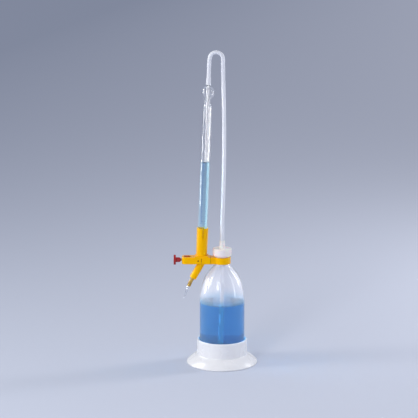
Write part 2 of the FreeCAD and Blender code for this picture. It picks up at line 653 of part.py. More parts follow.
def make_ring_pin():
    """Dowel that holds the arm on the tongue."""
    pin = document.addObject("Part::Cylinder", "ring_pin")
    pin.Label = "ring_pin"
    bind(pin, "Radius", "ring_pin_radius")
    bind(pin, "Height", f"ring_bottom + cavity_height - ({ARM_BOTTOM})")
    bind(pin, "Placement.Base.x", "-seam - tongue_length / 2")
    bind(pin, "Placement.Base.z", ARM_BOTTOM)
    nodes.append(pin)


def make_holder():
    """Yellow arm with the channel of the pinch valve, and the leaning socket on its plinth."""
    body = new_body("burette_holder")
    arm_parts(body)
    socket_parts(body)
    channel_cuts(body)
    socket_cuts(body)


def arm_parts(body):
    """The arm, round at its free end, and the plinth on it."""
    sketch = plane_sketch(body, "arm_outline", "XY_Plane", out=ARM_BOTTOM)
    outline(sketch, [
        ("-seam", "-arm_half_depth"),
        ("-seam", "arm_half_depth"),
        ("-arm_end + arm_end_radius", "arm_half_depth"),
        ("-arm_end", "arm_half_depth - arm_end_radius", "arm_end_radius", 1),
        ("-arm_end", "-arm_half_depth + arm_end_radius"),
        ("-arm_end + arm_end_radius", "-arm_half_depth", "arm_end_radius", 1),
    ])
    pad(body, "arm", sketch, "arm_height")
    heights = (size(ARM_BOTTOM), size(ARM_TOP))
    seam = -size("seam")
    round_edges(body, "arm_edges", "arm_edge", lambda edge: (
        any(level(edge, height) for height in heights) and edge.BoundBox.XMin < seam - 0.01
    ))
    sketch = plane_sketch(body, "plinth_outline", "XY_Plane", out="arm_axis")
    outline(sketch, box_corners("-plinth_left", "-plinth_right", "-arm_half_depth", "arm_half_depth"))
    pad(body, "plinth", sketch, "arm_height / 2 + plinth_height")
    top = size(f"{ARM_TOP} + plinth_height")
    round_edges(body, "plinth_edges", "plinth_edge", lambda edge: level(edge, top))


def socket_parts(body):
    """The slightly tapered socket."""
    sketch = plane_sketch(body, "socket_outline", "XZ_Plane", "-burette_axis", "arm_axis", "0", "lean")
    outline(sketch, [
        ("0", "cavity_height / 2 + 1"),
        ("socket_base_radius", "cavity_height / 2 + 1"),
        ("socket_top_radius", "socket_top - socket_lip_round"),
        ("socket_top_radius - socket_lip_round", "socket_top", "socket_lip_round", 1),
        ("0", "socket_top"),
    ])
    revolve(body, "socket", sketch)


def channel_cuts(body):
    """The channel in the arm and what opens into it."""
    sketch = plane_sketch(body, "channel_outline", "XZ_Plane")
    outline(sketch, box_corners("-arm_end + arm_end_wall", "-seam + 1", CHANNEL_LOW, CHANNEL_HIGH))
    pocket(body, "channel", sketch, "2 * cavity_half_depth", both=True)
    sketch = plane_sketch(body, "key_slot_outline", "XY_Plane", out=f"{ARM_TOP} + 1")
    outline(sketch, box_corners("-slot_left", "-slot_right", "-slot_width / 2", "slot_width / 2"))
    pocket(body, "key_slot", sketch, "arm_height / 2 - cavity_height / 2 + 1.5")
    sketch = plane_sketch(body, "spigot_room_outline", "XY_Plane", out=f"{ARM_BOTTOM} - 1")
    circle(sketch, BEND_X, "0", "guide_radius")
    pocket(body, "spigot_room", sketch, "arm_height / 2 - cavity_height / 2 + 1.5", flip=True)
    sketch = plane_sketch(body, "load_slit_outline", "XZ_Plane", out="arm_half_depth + 2")
    outline(sketch, box_corners(
        "-burette_axis - load_slit / 2", "-burette_axis + load_slit / 2", f"{ARM_BOTTOM} - 1", CHANNEL_HIGH,
    ))
    pocket(body, "load_slit_cut", sketch, "arm_half_depth - cavity_half_depth + 3")
    sketch = plane_sketch(body, "guide_pin_room_outline", "XZ_Plane")
    circle(sketch, "-guide_pin_place", "arm_axis", "guide_pin_radius")
    pocket(body, "guide_pin_room", sketch, "2 * arm_half_depth + 2", both=True)
    sketch = plane_sketch(body, "insert_room_outline", "YZ_Plane", out="-arm_end - 1")
    circle(sketch, "0", "arm_axis", "insert_radius")
    pocket(body, "insert_room", sketch, "arm_end_wall + 2", flip=True)
    sketch = plane_sketch(body, "arm_pin_room_outline", "XY_Plane", out=f"{ARM_BOTTOM} - 1")
    circle(sketch, "-seam - tongue_length / 2", "0", "ring_pin_radius")
    pocket(body, "arm_pin_room", sketch, "arm_height / 2 - cavity_height / 2 + 1.5", flip=True)


def socket_cuts(body):
    """The bore of the socket, the hole for the hose under it and the slit in its front."""
    sketch = plane_sketch(body, "socket_bore_outline", "XZ_Plane", "-burette_axis", "arm_axis", "0", "lean")
    outline(sketch, [
        ("0", "0"),
        ("pinch_hose_radius + hose_room", "0"),
        ("pinch_hose_radius + hose_room", "socket_floor"),
        ("socket_bore", "socket_floor"),
        ("socket_bore", "socket_top + 1"),
        ("0", "socket_top + 1"),
    ])
    groove(body, "socket_bored", sketch)
    sketch = plane_sketch(
        body, "socket_slit_outline", "XZ_Plane", "-burette_axis", "arm_axis", "socket_top_radius + 3", "lean",
    )
    middle = "socket_top_radius * sin(socket_slit_turn)"
    outline(sketch, box_corners(
        f"{middle} - socket_slit / 2", f"{middle} + socket_slit / 2",
        "socket_top - socket_slit_depth", "socket_top + 1",
    ))
    pocket(body, "socket_slit_cut", sketch, "socket_top_radius - socket_bore + 4")


def make_outlet_guide():
    """Slanted tube under the arm that leads the pinch hose, with a spigot in the arm's floor."""
    body = new_body("outlet_guide")
    sketch = plane_sketch(body, "guide_outline", "XZ_Plane", BEND_X, BEND_Z, "0", "outlet_slant")
    outline(sketch, [
        ("0", "-guide_length"),
        ("guide_radius - guide_lip_round", "-guide_length"),
        ("guide_radius", "-guide_length + guide_lip_round", "guide_lip_round", 1),
        ("guide_radius", "2 * guide_radius"),
        ("0", "2 * guide_radius"),
    ])
    revolve(body, "guide_tube", sketch)
    sketch = plane_sketch(body, "guide_top_outline", "XY_Plane", out=ARM_BOTTOM)
    reach = "4 * guide_radius"
    outline(sketch, box_corners(f"-burette_axis - {reach}", f"-burette_axis + {reach}", f"-{reach}", reach))
    pocket(body, "guide_top_cut", sketch, reach, flip=True)
    sketch = plane_sketch(body, "spigot_outline", "XY_Plane", out=ARM_BOTTOM)
    circle(sketch, BEND_X, "0", "guide_radius")
    pad(body, "spigot", sketch, "arm_height / 2 - cavity_height / 2")
    sketch = plane_sketch(body, "guide_bore_outline", "XZ_Plane", BEND_X, BEND_Z, "0", "outlet_slant")
    outline(sketch, box_corners("0", "guide_bore", "-guide_length - 1", "1"))
    groove(body, "guide_bored", sketch)
    sketch = plane_sketch(body, "spigot_bore_outline", "XY_Plane", out=CHANNEL_LOW)
    circle(sketch, BEND_X, "0", "guide_bore")
    pocket(body, "spigot_bored", sketch, "arm_height / 2 - cavity_height / 2 + 2.2")


def make_seat_ring():
    """Soft ring on the socket's floor that the burette's cone stands in."""
    cone = "cone_bottom + (seat_bore - stem_radius) / (glass_radius - stem_radius) * (cone_top - cone_bottom)"
    turned("seat_ring", [
        ("seat_bore", "socket_floor"),
        ("socket_bore", "socket_floor"),
        ("socket_bore", "cone_top"),
        ("glass_radius", "cone_top"),
        ("seat_bore", cone),
    ])


def flare(neck, rounding, shell, above):
    """Where the rounding between the bulb and a neck leaves the neck, and where it meets the bulb.

    neck is the neck's outside radius, rounding the outer fillet's, and shell how far the surface lies inside
    the outer one. Gives the height on the neck and the point on the bulb.
    """
    side = "+" if above else "-"
    rise = f"sqrt((bulb_radius + {rounding})^2 - ({neck} + {rounding})^2)"
    share = f"(bulb_radius - {shell}) / (bulb_radius + {rounding})"
    height = f"bulb_centre {side} {rise}"
    return height, f"({neck} + {rounding}) * {share}", f"bulb_centre {side} {rise} * {share}"


def make_burette_tube():
    """The glass: stem, cone, measuring tube, throat, bulb and inlet, with a vent in the throat."""
    low, low_x, low_z = flare("throat_radius", "bulb_flare", "0", False)
    low_in, low_in_x, low_in_z = flare("throat_radius", "bulb_flare", "glass_wall", False)
    high, high_x, high_z = flare("inlet_radius", "inlet_flare", "0", True)
    middle_x = "(glass_radius + throat_radius) / 2"
    middle_z = "(glass_shoulder + throat_start) / 2"
    body = turned("burette_tube", [
        ("stem_bore", "stem_bottom"),
        ("stem_radius", "stem_bottom"),
        ("stem_radius", "cone_bottom"),
        ("glass_radius", "cone_top"),
        ("glass_radius", "glass_shoulder"),
        (middle_x, middle_z, "shoulder_bend", 1),
        ("throat_radius", "throat_start", "shoulder_bend", -1),
        ("throat_radius", low),
        (low_x, low_z, "bulb_flare", -1),
        (high_x, high_z, "bulb_radius", 1),
        ("inlet_radius", high, "inlet_flare", -1),
        ("inlet_radius", "inlet_top"),
        ("inlet_bore", "inlet_top"),
        ("inlet_bore", BULB_INSIDE_TOP),
        ("fill_radius", BULB_INSIDE_TOP),
        (low_in_x, low_in_z, "bulb_radius - glass_wall", -1),
        ("throat_radius - glass_wall", low_in, "bulb_flare + glass_wall", 1),
        ("throat_radius - glass_wall", "throat_start"),
        (f"{middle_x} - glass_wall", middle_z, "shoulder_bend", 1),
        (GLASS_INSIDE, "glass_shoulder", "shoulder_bend", -1),
        (GLASS_INSIDE, GLASS_CONE_HIGH),
        ("stem_bore", GLASS_CONE_LOW),
    ])
    sketch = plane_sketch(body, "vent_outline", "YZ_Plane", out="-throat_radius - 2")
    circle(sketch, "0", "vent_height", "vent_radius")
    pocket(body, "vent", sketch, "glass_wall + 3", flip=True)


def make_fill_tube():
    """Inner glass tube from the top of the bulb, drawn out to a capillary that ends at the zero line."""
    turned("fill_tube", [
        ("capillary_bore", "zero_level"),
        ("capillary_radius", "zero_level"),
        ("capillary_radius", "fill_taper_end"),
        ("fill_radius", "fill_taper_start"),
        ("fill_radius", BULB_INSIDE_TOP),
        ("inlet_bore", BULB_INSIDE_TOP),
        ("inlet_bore", "fill_taper_start"),
        ("capillary_bore", "fill_taper_end"),
    ])


def make_burette_reagent():
    """The reagent in the burette, filled to the zero line."""
    turned("reagent_in_burette", [
        ("0", "stem_bottom"),
        ("stem_bore", "stem_bottom"),
        ("stem_bore", GLASS_CONE_LOW),
        (GLASS_INSIDE, GLASS_CONE_HIGH),
        (GLASS_INSIDE, "zero_level"),
        ("0", "zero_level"),
    ])


# The pinch hose under the arm, in the frame that starts at the pinch point: two bends and two straight runs.
SLANT = "(outlet_slant - lean)"
END_SLANT = "(outlet_slant - lean - droop)"
RUN = "(guide_length + hose_past_guide)"
BEND_RUN = "outlet_bend_radius * tan((outlet_slant - lean) / 2)"
DROOP_START = (f"-{RUN} * sin({SLANT})", f"-outlet_bend - {RUN} * cos({SLANT})")
DROOP_END = (
    f"{DROOP_START[0]} + droop_radius * (cos({SLANT}) - cos({END_SLANT}))",
    f"{DROOP_START[1]} + droop_radius * (sin({END_SLANT}) - sin({SLANT}))",
)
HOSE_END = (
    f"{DROOP_END[0]} - hose_end_run * sin({END_SLANT})",
    f"{DROOP_END[1]} - hose_end_run * cos({END_SLANT})",
)


def round_section(body, name, height):
    """The round hose's section, in the same four sides as the flattened one."""
    sketch = plane_sketch(body, name, "XY_Plane", out=height)
    corner = "pinch_hose_radius * sin(45)"
    outline(sketch, [
        (corner, f"-{corner}", "pinch_hose_radius", 1),
        (corner, corner, "pinch_hose_radius", 1),
        (f"-{corner}", corner, "pinch_hose_radius", 1),
        (f"-{corner}", f"-{corner}", "pinch_hose_radius", 1),
    ])
    return sketch


def flat_section(body, name, height):
    """The flattened hose's section: wall on wall, nearly round at its ends, and as wide as half the girth."""
    sketch = plane_sketch(body, name, "XY_Plane", out=height)
    end_radius = "1.05 * pinch_hose_wall"
    straight = "pi * (pinch_hose_radius - pinch_hose_wall / 2) / 2"
    outline(sketch, [
        ("pinch_hose_wall", f"-{straight}", end_radius, 1),
        ("pinch_hose_wall", straight),
        ("-pinch_hose_wall", straight, end_radius, 1),
        ("-pinch_hose_wall", f"-{straight}"),
    ])
    return sketch


def loft(body, name, first, last):
    """Joins two sections."""
    before = solid_volume(body)
    feature = body.newObject("PartDesign::AdditiveLoft", name)
    feature.Profile = first
    feature.Sections = [last]
    feature.Ruled = True
    return check_change(body, feature, before, True)


def make_pinch_hose():
    """Soft hose from the burette's stem, flattened between the jaws, through the guide to the outlet tip."""
    body = new_body("pinch_hose")
    spread = "pinch_half_height + pinch_spread"
    top = plane_sketch(body, "hose_top_section", "XY_Plane", out=spread)
    circle(top, "0", "0", "pinch_hose_radius")
    pad(body, "hose_top", top, f"pinch_hose_top - ({spread})")
    for name, side in (("above", ""), ("below", "-")):
        around = round_section(body, f"round_{name}", f"{side}({spread})")
        pinched = flat_section(body, f"flat_{name}", f"{side}pinch_half_height")
        loft(body, f"spread_{name}", around, pinched)
    middle = flat_section(body, "flat_middle", "0")
    pad(body, "flat_stretch", middle, "2 * pinch_half_height", both=True)
    spine = plane_sketch(body, "hose_line", "XZ_Plane")
    path(spine, [
        ("0", f"-({spread})"),
        ("0", f"-outlet_bend + {BEND_RUN}"),
        (f"-{BEND_RUN} * sin({SLANT})", f"-outlet_bend - {BEND_RUN} * cos({SLANT})", "outlet_bend_radius", -1),
        DROOP_START,
        (*DROOP_END, "droop_radius", 1),
        HOSE_END,
    ])
    section = plane_sketch(body, "hose_section", "XY_Plane", out=f"-({spread})")
    circle(section, "0", "0", "pinch_hose_radius")
    pipe(body, "AdditivePipe", "hose_run", section, spine)
    sketch = plane_sketch(body, "stem_room_outline", "XZ_Plane")
    outline(sketch, box_corners("0", "stem_radius", "stem_bottom", "pinch_hose_top + 1"))
    groove(body, "stem_room", sketch)
    sketch = plane_sketch(body, "tip_room_outline", "XZ_Plane", *HOSE_END, "0", END_SLANT)
    outline(sketch, box_corners("0", "tip_radius", "-1", "tip_inside"))
    groove(body, "tip_room", sketch)
    lean_over(body)


def make_outlet_tip():
    """Clear tip, drawn out to a fine jet."""
    body = new_body("outlet_tip")
    sketch = plane_sketch(body, "tip_outline", "XZ_Plane", *HOSE_END, "0", END_SLANT)
    outline(sketch, [
        ("tip_end_bore", "-tip_length"),
        ("tip_end_radius", "-tip_length"),
        ("tip_radius + 0.2", "-tip_length / 3", "tip_curve", -1),
        ("tip_radius + 0.2", "-0.8"),
        ("tip_radius", "-0.2"),
        ("tip_radius", "tip_inside"),
        ("tip_radius - tip_wall", "tip_inside"),
        ("tip_radius - tip_wall", "-tip_length / 3"),
    ])
    revolve(body, "tip_turned", sketch)
    lean_over(body)


def make_riser_hose():
    """The free hose: straight runs joined by round bends, and the swelling over the burette's inlet."""
    swell = turned("riser_hose_swell", [
        ("0", "inlet_top"),
        ("inlet_radius", "inlet_top"),
        ("inlet_radius", "swell_bottom"),
        ("swell_radius - swell_round", "swell_bottom"),
        ("swell_radius", "swell_bottom + swell_round", "swell_round", 1),
        ("swell_radius", "inlet_top - 1"),
        ("hose_radius + 0.1", "swell_top + swell_taper"),
        ("0", "swell_top + swell_taper"),
    ])
    nodes.remove(swell)
    lean = math.radians(size("lean"))
    end_x = -size("burette_axis") + size("swell_top") * math.sin(lean)
    end_z = size("arm_axis") + size("swell_top") * math.cos(lean)
    points = [FreeCAD.Vector(x, 0, z) for x, z in RISER_ROUTE + [(end_x, end_z)]]
    wire, radii = rounded_route(points)
    print("riser hose, length", round(wire.Length, 1), "bend radii", [round(radius, 1) for radius in radii])
    radius = size("hose_radius")
    start = Part.Wire(Part.makeCircle(radius, points[0], points[1] - points[0]))
    rod = document.addObject("Part::Feature", "riser_hose_rod")
    rod.Shape = wire.makePipeShell([start], True, False)
    expected = math.pi * radius**2 * wire.Length
    if abs(rod.Shape.Volume - expected) > 0.002 * expected:
        raise ValueError("the riser hose's volume is not its section times its length")
    hose = document.addObject("Part::Fuse", "riser_hose")
    hose.Label = "riser_hose"
    hose.Base = rod
    hose.Tool = swell
    nodes.append(hose)


def rounded_route(points):
    """A wire of straight runs and tangent arcs, each arc as large as its two runs allow."""
    edges = []
    radii = []
    start = points[0]
    for before, corner, after in zip(points, points[1:], points[2:]):
        back = (before - corner)
        ahead = (after - corner)
        reach = 0.45 * min(back.Length, ahead.Length)
        half_turn = (math.pi - back.getAngle(ahead)) / 2
        radii.append(reach / math.tan(half_turn))
        back.normalize()
        ahead.normalize()
        first = corner + back * reach
        last = corner + ahead * reach
        inward = (back + ahead).normalize()
        gap = math.hypot(reach, radii[-1]) - radii[-1]
        edges.append(Part.LineSegment(start, first).toShape())
        edges.append(Part.Arc(first, corner + inward * gap, last).toShape())
        start = last
    edges.append(Part.LineSegment(start, points[-1]).toShape())
    return Part.Wire(edges), radii


def make_pinch_slide():
    """Red slide in the channel: tail with the key, two rails and the cross bar behind the hose."""
    body = new_body("pinch_slide")
    sketch = plane_sketch(body, "tail_outline", "XZ_Plane", up="arm_axis")
    outline(sketch, box_corners("-tail_left", "-tail_right", "-tail_half_height", "tail_half_height"))
    pad(body, "tail", sketch, "2 * rail_outside", both=True)
    sketch = plane_sketch(body, "rails_outline", "XZ_Plane", up="arm_axis")
    right = f"-({BAR_FACE}) + bar_thickness"
    outline(sketch, box_corners("-tail_right - 1", right, "-rail_half_height", "rail_half_height"))
    pad(body, "rails", sketch, "2 * rail_outside", both=True)
    sketch = plane_sketch(body, "window_outline", "XZ_Plane", up="arm_axis")
    root = f"-({BAR_FACE}) + bar_root"
    outline(sketch, [
        ("-tail_right", "-rail_half_height - 1"),
        (root, "-rail_half_height - 1"),
        (f"-({BAR_FACE})", "-nose_half_height"),
        (f"-({BAR_FACE})", "nose_half_height"),
        (root, "rail_half_height + 1"),
        ("-tail_right", "rail_half_height + 1"),
    ])
    pocket(body, "window", sketch, "2 * rail_inside", both=True)
    sketch = plane_sketch(body, "rail_slot_outline", "XZ_Plane", up="arm_axis")
    room = "guide_pin_radius + slide_play"
    outline(sketch, box_corners(
        f"-guide_pin_place - key_travel - ({room})", f"-guide_pin_place + {room}", f"-({room})", room,
    ))
    pocket(body, "rail_slots", sketch, "2 * rail_outside + 2", both=True)
    sketch = plane_sketch(body, "tail_bore_outline", "YZ_Plane", up="arm_axis", out="-tail_left - 1")
    circle(sketch, "0", "0", "screw_radius + slide_play")
    pocket(body, "tail_bore", sketch, "tail_left - tail_right + 2", flip=True)
    sketch = plane_sketch(body, "spring_room_outline", "YZ_Plane", up="arm_axis", out="-spring_seat")
    circle(sketch, "0", "0", "spring_radius + spring_wire + spring_gap")
    pocket(body, "spring_room", sketch, "spring_seat - tail_right + 1", flip=True)
    sketch = plane_sketch(body, "key_outline", "XY_Plane", out="arm_axis + tail_half_height - key_root")
    outline(sketch, box_corners("-key_left", "-key_right", "-key_width / 2", "key_width / 2"))
    pad(body, "key", sketch, f"{ARM_TOP} + key_rise - (arm_axis + tail_half_height - key_root)")
    grip_grooves(body)


def grip_grooves(body):
    """Grooves across the key's top for the finger."""
    sketch = plane_sketch(body, "grip_groove_outline", "XZ_Plane")
    top = f"{ARM_TOP} + key_rise"
    pitch = "(key_left - key_right) / 6"
    outline(sketch, [
        (f"-key_left + {pitch} - grip_half_width", f"{top} + 0.1"),
        (f"-key_left + {pitch}", f"{top} - grip_depth"),
        (f"-key_left + {pitch} + grip_half_width", f"{top} + 0.1"),
    ])
    grip = pocket(body, "grip_groove", sketch, "key_width + 2", both=True)
    before = solid_volume(body)
    pattern = body.newObject("PartDesign::LinearPattern", "grip_grooves")
    pattern.Originals = [grip]
    pattern.Direction = (sketch, ["H_Axis"])
    bind(pattern, "Length", f"4 * {pitch}")
    pattern.Occurrences = 5
    body.Tip = pattern
    if solid_volume(body) > before - 1e-3:
        raise ValueError("the grip grooves are not repeated")


def make_return_spring():
    """Coil spring between the tail and the guide block."""
    body = new_body("return_spring")
    sketch = plane_sketch(body, "wire_section", "XZ_Plane")
    circle(sketch, "spring_radius", "block_left + 2 * spring_gap + spring_wire", "spring_wire")
    before = solid_volume(body)
    feature = body.newObject("PartDesign::AdditiveHelix", "coil")
    feature.Profile = sketch
    feature.ReferenceAxis = (sketch, ["V_Axis"])
    feature.Mode = "height-turns-angle"
    bind(feature, "Height", "spring_seat - block_left - 3 * spring_gap - 2 * spring_wire")
    bind(feature, "Turns", "spring_turns")
    check_change(body, feature, before, True)
    lie_along_screw(body)


def make_anvil_pad():
    """Pad on the screw's end, with a nose towards the hose."""
    body = new_body("anvil_pad")
    sketch = plane_sketch(body, "pad_outline", "XZ_Plane", up="arm_axis")
    outline(sketch, [
        (f"-({PAD_BACK})", "-jaw_half_height"),
        (f"-({PAD_FACE}) - nose_depth", "-jaw_half_height"),
        (f"-({PAD_FACE})", "-nose_half_height"),
        (f"-({PAD_FACE})", "nose_half_height"),
        (f"-({PAD_FACE}) - nose_depth", "jaw_half_height"),
        (f"-({PAD_BACK})", "jaw_half_height"),
    ])
    pad(body, "pad_bar", sketch, "2 * pad_half_depth", both=True)
    sketch = plane_sketch(body, "journal_room_outline", "YZ_Plane", up="arm_axis", out=f"-({PAD_BACK}) - 1")
    circle(sketch, "0", "0", "screw_journal + screw_clearance")
    pocket(body, "journal_room", sketch, "2", flip=True)


def along_screw(name, corners):
    """A sub-part that is one outline revolved round the screw's axis."""
    body = turned(name, corners, axis="own")
    lie_along_screw(body)
    return body


def make_screw_stem():
    """Steel stem of the micro screw with the journal that turns in the pad."""
    along_screw("micro_screw_stem", [
        ("0", f"{PAD_BACK} - journal_length"),
        ("screw_journal", f"{PAD_BACK} - journal_length"),
        ("screw_journal", f"{PAD_BACK} + journal_gap"),
        ("screw_radius", f"{PAD_BACK} + journal_gap"),
        ("screw_radius", "knob_face - knob_skin"),
        ("0", "knob_face - knob_skin"),
    ])


def make_screw_knob():
    """Red knob: fluted disc and a hub with a rounded end on the stem."""
    back = "knob_face - knob_disc"
    body = along_screw("micro_screw_knob", [
        ("screw_radius", "knob_root"),
        ("knob_neck", "knob_root"),
        ("knob_hub", "knob_root + knob_nose", "knob_nose + 1", 1),
        ("knob_hub", f"{back} - knob_fillet"),
        ("knob_hub + knob_fillet", back, "knob_fillet + 0.1", -1),
        ("knob_radius - knob_edge", back),
        ("knob_radius", f"{back} + knob_edge", "knob_edge", 1),
        ("knob_radius", "knob_face - knob_edge"),
        ("knob_radius - knob_edge", "knob_face", "knob_edge", 1),
        ("0", "knob_face"),
        ("0", "knob_face - knob_skin"),
        ("screw_radius", "knob_face - knob_skin"),
    ])
    sketch = plane_sketch(body, "knob_flute_outline", "XY_Plane", out=f"{back} - 1")
    circle(sketch, "knob_radius + 0.5", "0", "knob_flute_radius")
    flute = pocket(body, "knob_flute", sketch, "knob_disc + 2", flip=True)
    repeat_round(body, flute, sketch, "N_Axis", "knob_flutes")


def make_thread_insert():
    """Brass insert in the arm's end wall that carries the stem's thread."""
    along_screw("thread_insert", [
        ("screw_radius + screw_clearance", "tail_left + 0.5"),
        ("insert_radius", "tail_left + 0.5"),
        ("insert_radius", "arm_end - 0.2"),
        ("screw_radius + screw_clearance", "arm_end - 0.2"),
    ])


def make_guide_block():
    """Block fixed across the channel: bearing of the stem and stop of the spring."""
    body = new_body("guide_block")
    sketch = plane_sketch(body, "block_outline", "XZ_Plane", up="arm_axis")
    outline(sketch, box_corners("-block_left", "-block_right", "-cavity_height / 2", "cavity_height / 2"))
    pad(body, "block", sketch, "2 * pad_half_depth", both=True)
    sketch = plane_sketch(body, "block_bore_outline", "YZ_Plane", up="arm_axis", out="-block_left - 1")
    circle(sketch, "0", "0", "screw_radius + screw_clearance")
    pocket(body, "block_bore", sketch, "block_left - block_right + 2", flip=True)
    sketch = plane_sketch(body, "block_pin_room_outline", "XZ_Plane", up="arm_axis")
    circle(sketch, "-guide_pin_place", "0", "guide_pin_radius")
    pocket(body, "block_pin_room", sketch, "2 * pad_half_depth + 2", both=True)


def make_guide_pins():
    """Two dowels through the arm's walls and the slide's slots into the guide block."""
    pins = []
    for name, side in (("front_guide_pin", -1), ("back_guide_pin", 1)):
        pin = document.addObject("Part::Cylinder", name)
        pin.Placement = FreeCAD.Placement(MIDDLE, FreeCAD.Rotation(ALONG_X, -90 * side))
        bind(pin, "Radius", "guide_pin_radius")
        bind(pin, "Height", "arm_half_depth - guide_pin_sink - guide_pin_inner")
        bind(pin, "Placement.Base.x", "-guide_pin_place")
        bind(pin, "Placement.Base.y", f"{side} * guide_pin_inner")
        bind(pin, "Placement.Base.z", "arm_axis")
        pins.append(pin)
    group = document.addObject("Part::Compound", "guide_pins")
    group.Label = "guide_pins"
    group.Links = pins
    nodes.append(group)


def make_cap_seal():
    """Sealing disc on the bottle's mouth, with the tube through it."""
    turned("cap_seal", box_corners(
        "hose_radius + tube_clearance", "seal_radius", "finish_top", "finish_top + seal_thickness",
    ), axis="bottle")


def make_screw_cap():
    """Natural white cap with grip flutes and a tapered nozzle for the tube."""
    inside = "hose_radius + tube_clearance"
    body = turned("screw_cap", [
        ("cap_bore", "cap_bottom"),
        ("cap_radius - cap_bevel", "cap_bottom"),
        ("cap_radius", "cap_bottom + cap_bevel"),
        ("cap_radius", "cap_top - cap_edge"),
        ("cap_radius - cap_edge", "cap_top", "cap_edge", 1),
        ("nozzle_base + nozzle_fillet", "cap_top"),
        ("nozzle_base", "cap_top + nozzle_fillet", "nozzle_fillet + 0.1", -1),
        ("nozzle_tip", "nozzle_top"),
        (inside, "nozzle_top"),
        (inside, "finish_top + seal_thickness"),
        ("cap_bore", "finish_top + seal_thickness"),
    ], axis="bottle")
    sketch = plane_sketch(body, "cap_flute_outline", "XY_Plane", out="cap_bottom + cap_bevel")
    circle(sketch, "cap_radius + cap_flute_radius / 2", "0", "cap_flute_radius")
    flute = pocket(body, "cap_flute", sketch, "cap_top - 1.3 * cap_edge - cap_bottom - cap_bevel", flip=True)
    repeat_round(body, flute, sketch, "N_Axis", "cap_flutes")


def check_and_write():
    """Stops on a failed object or an invalid shape, and writes each sub-part."""
    document.recompute()
    for thing in document.Objects:
        if {"Invalid", "Error"} & set(thing.State):
            raise ValueError(f"{thing.Name} failed: {thing.State}")
    os.makedirs("parts", exist_ok=True)
    for node in nodes:
        if node.Shape.isNull() or not node.Shape.isValid():
            raise ValueError(f"{node.Label} has no valid shape")
        node.Shape.exportStep(f"parts/{node.Label}.step")
        box = node.Shape.BoundBox
        print(node.Label, len(node.Shape.Solids), round(node.Shape.Volume), box)


make_foot()
make_bottle()
make_bottle_reagent()
make_dip_tube()
make_neck_ring()
make_ring_pin()
make_holder()
make_outlet_guide()
make_seat_ring()
make_burette_tube()
make_fill_tube()
make_burette_reagent()
make_pinch_hose()
make_outlet_tip()
make_riser_hose()
make_thread_insert()
make_guide_block()
make_guide_pins()
make_pinch_slide()
make_return_spring()
make_anvil_pad()
make_screw_stem()
make_screw_knob()
make_cap_seal()
make_screw_cap()
check_and_write()
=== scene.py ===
"""Automatic burette: the looks, in metres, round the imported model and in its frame.

The origin is the centre of the foot's underside, +Z is up, +X runs from the arm towards the bottle, and the
front looks along -Y. What stands on the burette's axis is drawn upright, with heights above the pinch point in
the arm, and is then leant onto that axis.
"""

import json
import math

import bmesh
import bpy
from mathutils import Matrix, Vector


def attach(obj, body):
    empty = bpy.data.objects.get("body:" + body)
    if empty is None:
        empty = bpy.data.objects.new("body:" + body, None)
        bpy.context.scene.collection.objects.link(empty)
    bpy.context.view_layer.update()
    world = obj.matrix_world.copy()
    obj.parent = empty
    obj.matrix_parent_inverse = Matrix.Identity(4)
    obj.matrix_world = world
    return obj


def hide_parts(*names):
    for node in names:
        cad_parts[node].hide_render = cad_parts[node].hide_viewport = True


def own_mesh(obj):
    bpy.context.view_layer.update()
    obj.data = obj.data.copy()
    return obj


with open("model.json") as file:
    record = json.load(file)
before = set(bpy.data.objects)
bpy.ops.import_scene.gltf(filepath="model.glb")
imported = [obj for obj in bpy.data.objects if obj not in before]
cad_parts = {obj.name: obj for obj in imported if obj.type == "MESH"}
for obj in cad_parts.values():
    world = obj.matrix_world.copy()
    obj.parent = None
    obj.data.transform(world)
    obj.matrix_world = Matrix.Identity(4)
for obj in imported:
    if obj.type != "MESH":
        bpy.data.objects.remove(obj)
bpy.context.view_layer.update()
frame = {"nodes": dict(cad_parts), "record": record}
nodes = frame["nodes"]

MM = 0.001

# Sizes of the object in millimetres, as the solids have them.
HOSE_RADIUS = 4.0
BOTTLE_INSIDE = 44.4
BOTTLE_FLOOR = 4.6
BOTTLE_CORNER = 3.4
REAGENT_LEVEL = 127.0
PINCH_POINT = (-42.5, 0.0, 215.8)
LEAN = 2.3
GLASS_RADIUS = 9.2
GLASS_INSIDE = 8.0
STEM_BORE = 1.5
STEM_BOTTOM = 7.0
CONE_LOW = 16.4
CONE_HIGH = 23.4
ZERO_LEVEL = 201.3
CAPILLARY_RADIUS = 1.9
SWELL_BOTTOM = 358.6
SWELL_TOP = 374.5
SWELL_RADIUS = 4.7
INLET_RADIUS = 3.1
INLET_TOP = 372.0
SCREW_AXIS = 215.8
ARM_BOTTOM = 208.7

# The riser hose's points from the cap's nozzle, over the bend and down to the burette's inlet: x and z.
RISER_ROUTE = [
    (0.0, 256.0),
    (0.0, 291.0),
    (2.0, 346.0),
    (3.6, 420.0),
    (3.7, 492.0),
    (2.1, 566.0),
    (1.0, 609.5),
    (1.3, 631.0),
    (-6.7, 639.0),
    (-17.9, 639.0),
    (-25.9, 631.0),
    (-26.85, 610.3),
    (-27.47, 589.99),
]


# Camera

camera = bpy.data.objects.new("camera", bpy.data.cameras.new("camera"))
camera.location = (-0.0269, -3.2, 0.970)
camera.rotation_euler = (math.radians(90 - 11.46), 0, 0)
camera.data.sensor_width = 36
camera.data.lens = 138.75
bpy.context.scene.collection.objects.link(camera)
bpy.context.scene.camera = camera


# Finishes

def colour(code):
    """A colour written as on screen, turned to linear light."""
    parts = [int(code[i:i + 2], 16) / 255 for i in (1, 3, 5)]
    light = [part / 12.92 if part <= 0.04045 else ((part + 0.055) / 1.055) ** 2.4 for part in parts]
    return (*light, 1.0)


